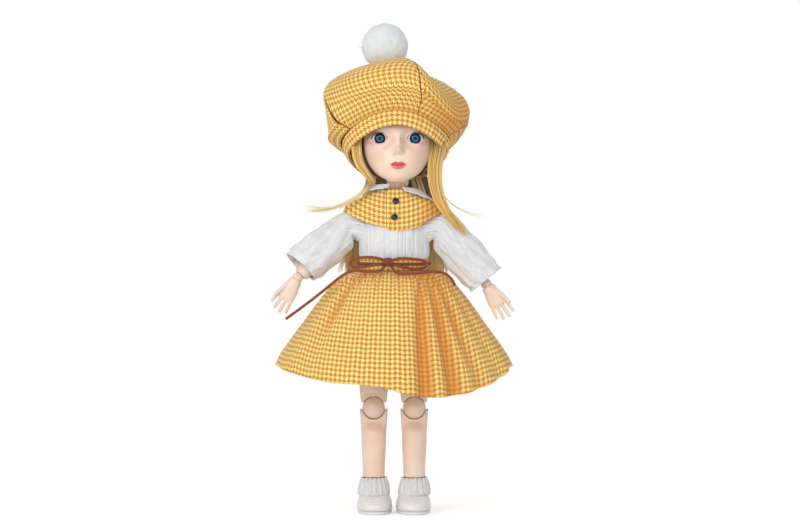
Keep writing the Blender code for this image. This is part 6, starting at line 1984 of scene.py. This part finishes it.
@dataclass
class Capelet:
    """The checked yoke, its placket and buttons, and the two white collar leaves."""

    dyes: Dyes
    top: float = 227.0
    bottom: float = 200.0
    neck_radius: float = 12.0
    half_width: float = 35.5
    half_depth: float = 18.0
    wall: float = 0.9
    placket: float = -4.9
    button_radius: float = 2.35
    button_height: float = 1.45
    # first angle, reach at the front, reach at the side, lift, fall at the side, and depth of the flat leaf
    leaves: dict[str, tuple] = field(default_factory=lambda: {
        "right": (-77.0, 8.0, 8.0, 1.8, 1.6, 0.0100),
        "left": (-66.0, 10.0, 16.5, -0.2, 4.4, 0.0135)})
    # drop, reach and lift of the shoulder sides, as shares
    shares: tuple = ((0.0, 0.0, 0.0), (0.16, 0.30, 0.0), (0.34, 0.62, 0.05), (0.62, 0.88, 0.20),
                     (1.0, 1.0, 0.42))

    def surface(self, turn: np.ndarray, drop: np.ndarray) -> np.ndarray:
        """Points of the yoke's outer side.

        Args:
            turn: radians round from the front toward the doll's left, one a column.
            drop: 0 at the neck and 1 at the lower edge, one a row.

        Returns:
            Rows and columns of points.
        """
        size = along(self.shares, drop)
        wide = self.neck_radius + (self.half_width - self.neck_radius) * size[:, 0]
        deep = self.neck_radius + (self.half_depth - self.neck_radius) * np.clip(size[:, 0], 0.0, 1.0) ** 0.7
        tall = self.top - self.bottom
        level = (self.top - tall * drop)[:, None] + (tall * size[:, 1])[:, None] * np.sin(turn)[None, :] ** 2
        soft = 0.35 * wander(turn[None, :] * 5.0, drop[:, None] * 3.0, 71) * drop[:, None]
        return stacked((wide[:, None] + soft) * np.sin(turn)[None, :],
                       -(deep[:, None] + soft) * np.cos(turn)[None, :], level)

    def build(self) -> None:
        """Make the yoke, the buttons and the collar."""
        turn = np.radians(np.linspace(-180.0, 180.0, 541))
        drop = np.linspace(0.0, 1.0, 44)
        points = self.surface(turn, drop)
        x, front = points[..., 0], np.cos(turn)[None, :] > 0.0
        lap = step_up(x, self.placket - 0.35, self.placket + 0.35) * (1.0 - step_up(x, 14.0, 30.0)) * front
        # The dark line at the placket's edge is its seam, with painted shadow under the overlapping edge. The
        # fainter line beside it and the one at the hem are stitching.
        sewn = np.maximum(crease(x, self.placket - 0.3, 0.45), 0.72 * crease(x, self.placket + 1.5, 0.3))
        sewn = sewn * front
        hem = crease(drop[:, None], 0.91, 0.02)
        sewn = np.maximum(sewn, 0.72 * hem)
        # painted shade: redder orange over the yoke's side at the doll's left, away from the key lamp, through
        # the fold paint
        glow = 0.5 * step_up(x, 12.0, 30.0) * front * step_up(drop, 0.2, 0.6)[:, None]
        points[..., 1] -= 0.55 * lap
        points[..., 2] -= 2.4 * drop[:, None] ** 2 * lap * (drop[:, None] > 0.5)
        points[..., 0] -= 0.28 * hem * np.sin(turn)[None, :]
        points[..., 1] += 0.28 * hem * np.cos(turn)[None, :]
        across = points[..., 0] * np.where(front, 1.0, -1.0) + 3.0 * np.sin(turn)[None, :]
        flat = stacked(across + 1.7 * (x < self.placket), fallen(points))
        yoke = one_patch("capelet_cloth", self.dyes.check, points, flat, 0.003, seam=sewn, fold=glow)
        piece = thicken(yoke, self.wall)
        settle(piece, "chest", Slot.CHECK, "capelet")
        for name, x, z in (("upper", 1.2, 218.2), ("lower", 0.4, 207.1)):
            self.build_button(name, x, z)
        for side, sign in SIGN.items():
            self.build_leaf(side, sign)

    def build_button(self, name: str, x: float, z: float) -> None:
        """A domed resin button with a rim."""
        node_low, node_high = (np.array(v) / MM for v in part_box(f"button_{name}"))
        middle = (node_low + node_high) / 2.0
        drop = float(np.clip((self.top - z) / (self.top - self.bottom), 0.0, 1.0))
        front = float(self.surface(np.array([0.0]), np.array([drop]))[0, 0, 1]) - 0.9
        # height and radius, as shares of the button
        profile = ((0.0, 0.78), (0.25, 0.97), (0.55, 1.0), (0.85, 0.93), (1.0, 0.80), (0.93, 0.66),
                   (0.98, 0.5), (1.12, 0.25), (1.15, 0.0))
        lean = math.radians(-16.0 if name == "upper" else -8.0)
        rows = [ring((0.0, 0.0, self.button_height * height), self.button_radius * share,
                     self.button_radius * share, sides=40) for height, share in profile]
        place = Matrix.Rotation(math.radians(90.0) + lean, 4, "X")
        place.translation = Vector((x, min(front, middle[1] + 0.6), z))
        piece = one_patch(f"{name}_button", self.dyes.resin, moved(np.array(rows), place))
        settle(piece, "chest", Slot.BUTTONS, f"button_{name}")

    def build_leaf(self, side: str, sign: float) -> None:
        """One rounded collar leaf that lies on the yoke."""
        first, front, side_reach, lift, fall, flat = self.leaves[side]
        steps = np.linspace(0.0, 1.0, 72)
        angle = np.radians(first + (58.0 - first) * steps)
        outer = step_up(steps, 0.0, 0.55)
        rounding = 0.30 + 0.70 * np.sin(math.pi * (0.06 + 0.88 * steps)) ** 0.5
        reach = (front + (side_reach - front) * outer) * rounding
        rows = []
        for share in np.linspace(0.0, 1.0, 15):
            out = self.neck_radius + 0.4 + reach * share
            rise = 1.9 * math.sin(math.pi * min(1.0, share * 1.15)) * (1.0 - share) + 0.2
            level = self.top + 0.5 + lift + rise - reach * share * (0.20 + 0.10 * share) - fall * outer * share
            edge = 0.22 * np.sin(steps * 40.0) * share ** 3
            rows.append(stacked(sign * out * np.cos(angle), out * np.sin(angle), level + edge))
        piece = thicken(one_patch(f"collar_leaf_{side}", self.dyes.cotton, np.array(rows), weld=0.003), 0.7)
        settle(piece, "chest", Slot.COTTON, f"collar_{side}")


@dataclass
class Body:
    """The neck, and the CAD pieces that keep their shape."""

    dyes: Dyes
    neck_height: float = 220.0
    neck_length: float = 18.0
    radius: float = 7.8
    ball_radius: float = 7.6
    lean: float = 2.5

    def build(self) -> None:
        """Make the neck and dress the rest."""
        turn = np.linspace(0.0, math.tau, 57)
        base = (0.0, 0.0, self.neck_height)
        rows = [ball_rows(base, self.ball_radius, np.full(57, math.radians(polar)), -1.0, turn)
                for polar in np.linspace(0.0, 122.0, 18)]
        post = ((0.40, 0.90, 0.6), (0.58, 0.97, 1.0), (1.0, 1.0, 1.0), (1.20, 0.92, 1.0), (1.30, 0.66, 1.0),
                (1.33, 0.0, 1.0))
        outline = [rows[-1]] + [ring((self.lean * lean, 0.0, self.neck_height + self.neck_length * height),
                                     self.radius * width, self.radius * width, sides=56)
                                for height, width, lean in post]
        points = np.concatenate((rows[:-1], loft(outline, 6)))
        # The neck's blush and shade are painted shade: warmer and darker, as the neck lies in shade under the
        # head.
        piece = one_patch("neck_post", self.dyes.face, points, blush=0.22, shade=0.10)
        settle(piece, "neck", Slot.VINYL, "neck")
        for name in ("pelvis", "chest_front", "chest_back", "waist_ball"):
            for place in frame["nodes"][name].material_slots:
                place.material = self.dyes.vinyl
            LOG.info("%s keeps its shape", name)


def main() -> None:
    """Build the studio, the cords and then the doll from the head down."""
    logging.basicConfig(level=logging.INFO, format="%(message)s")
    dyes = Dyes()
    Studio().build()
    Belt(dyes).build()
    head = Head(dyes)
    head.build()
    Wig(dyes, head).build()
    Beret(dyes).build()
    Body(dyes).build()
    # side, droop of the hand in degrees, and place and lift of the cuff
    for side, droop, share, lift in (("left", 7.0, 0.96, 1.5), ("right", 11.0, 0.87, 4.0)):
        Arm(dyes, side, math.radians(droop), share, lift).build()
        Leg(dyes, side).build()
    Skirt(dyes).build()
    Blouse(dyes).build()
    Capelet(dyes).build()


if __name__ == "__main__":
    main()
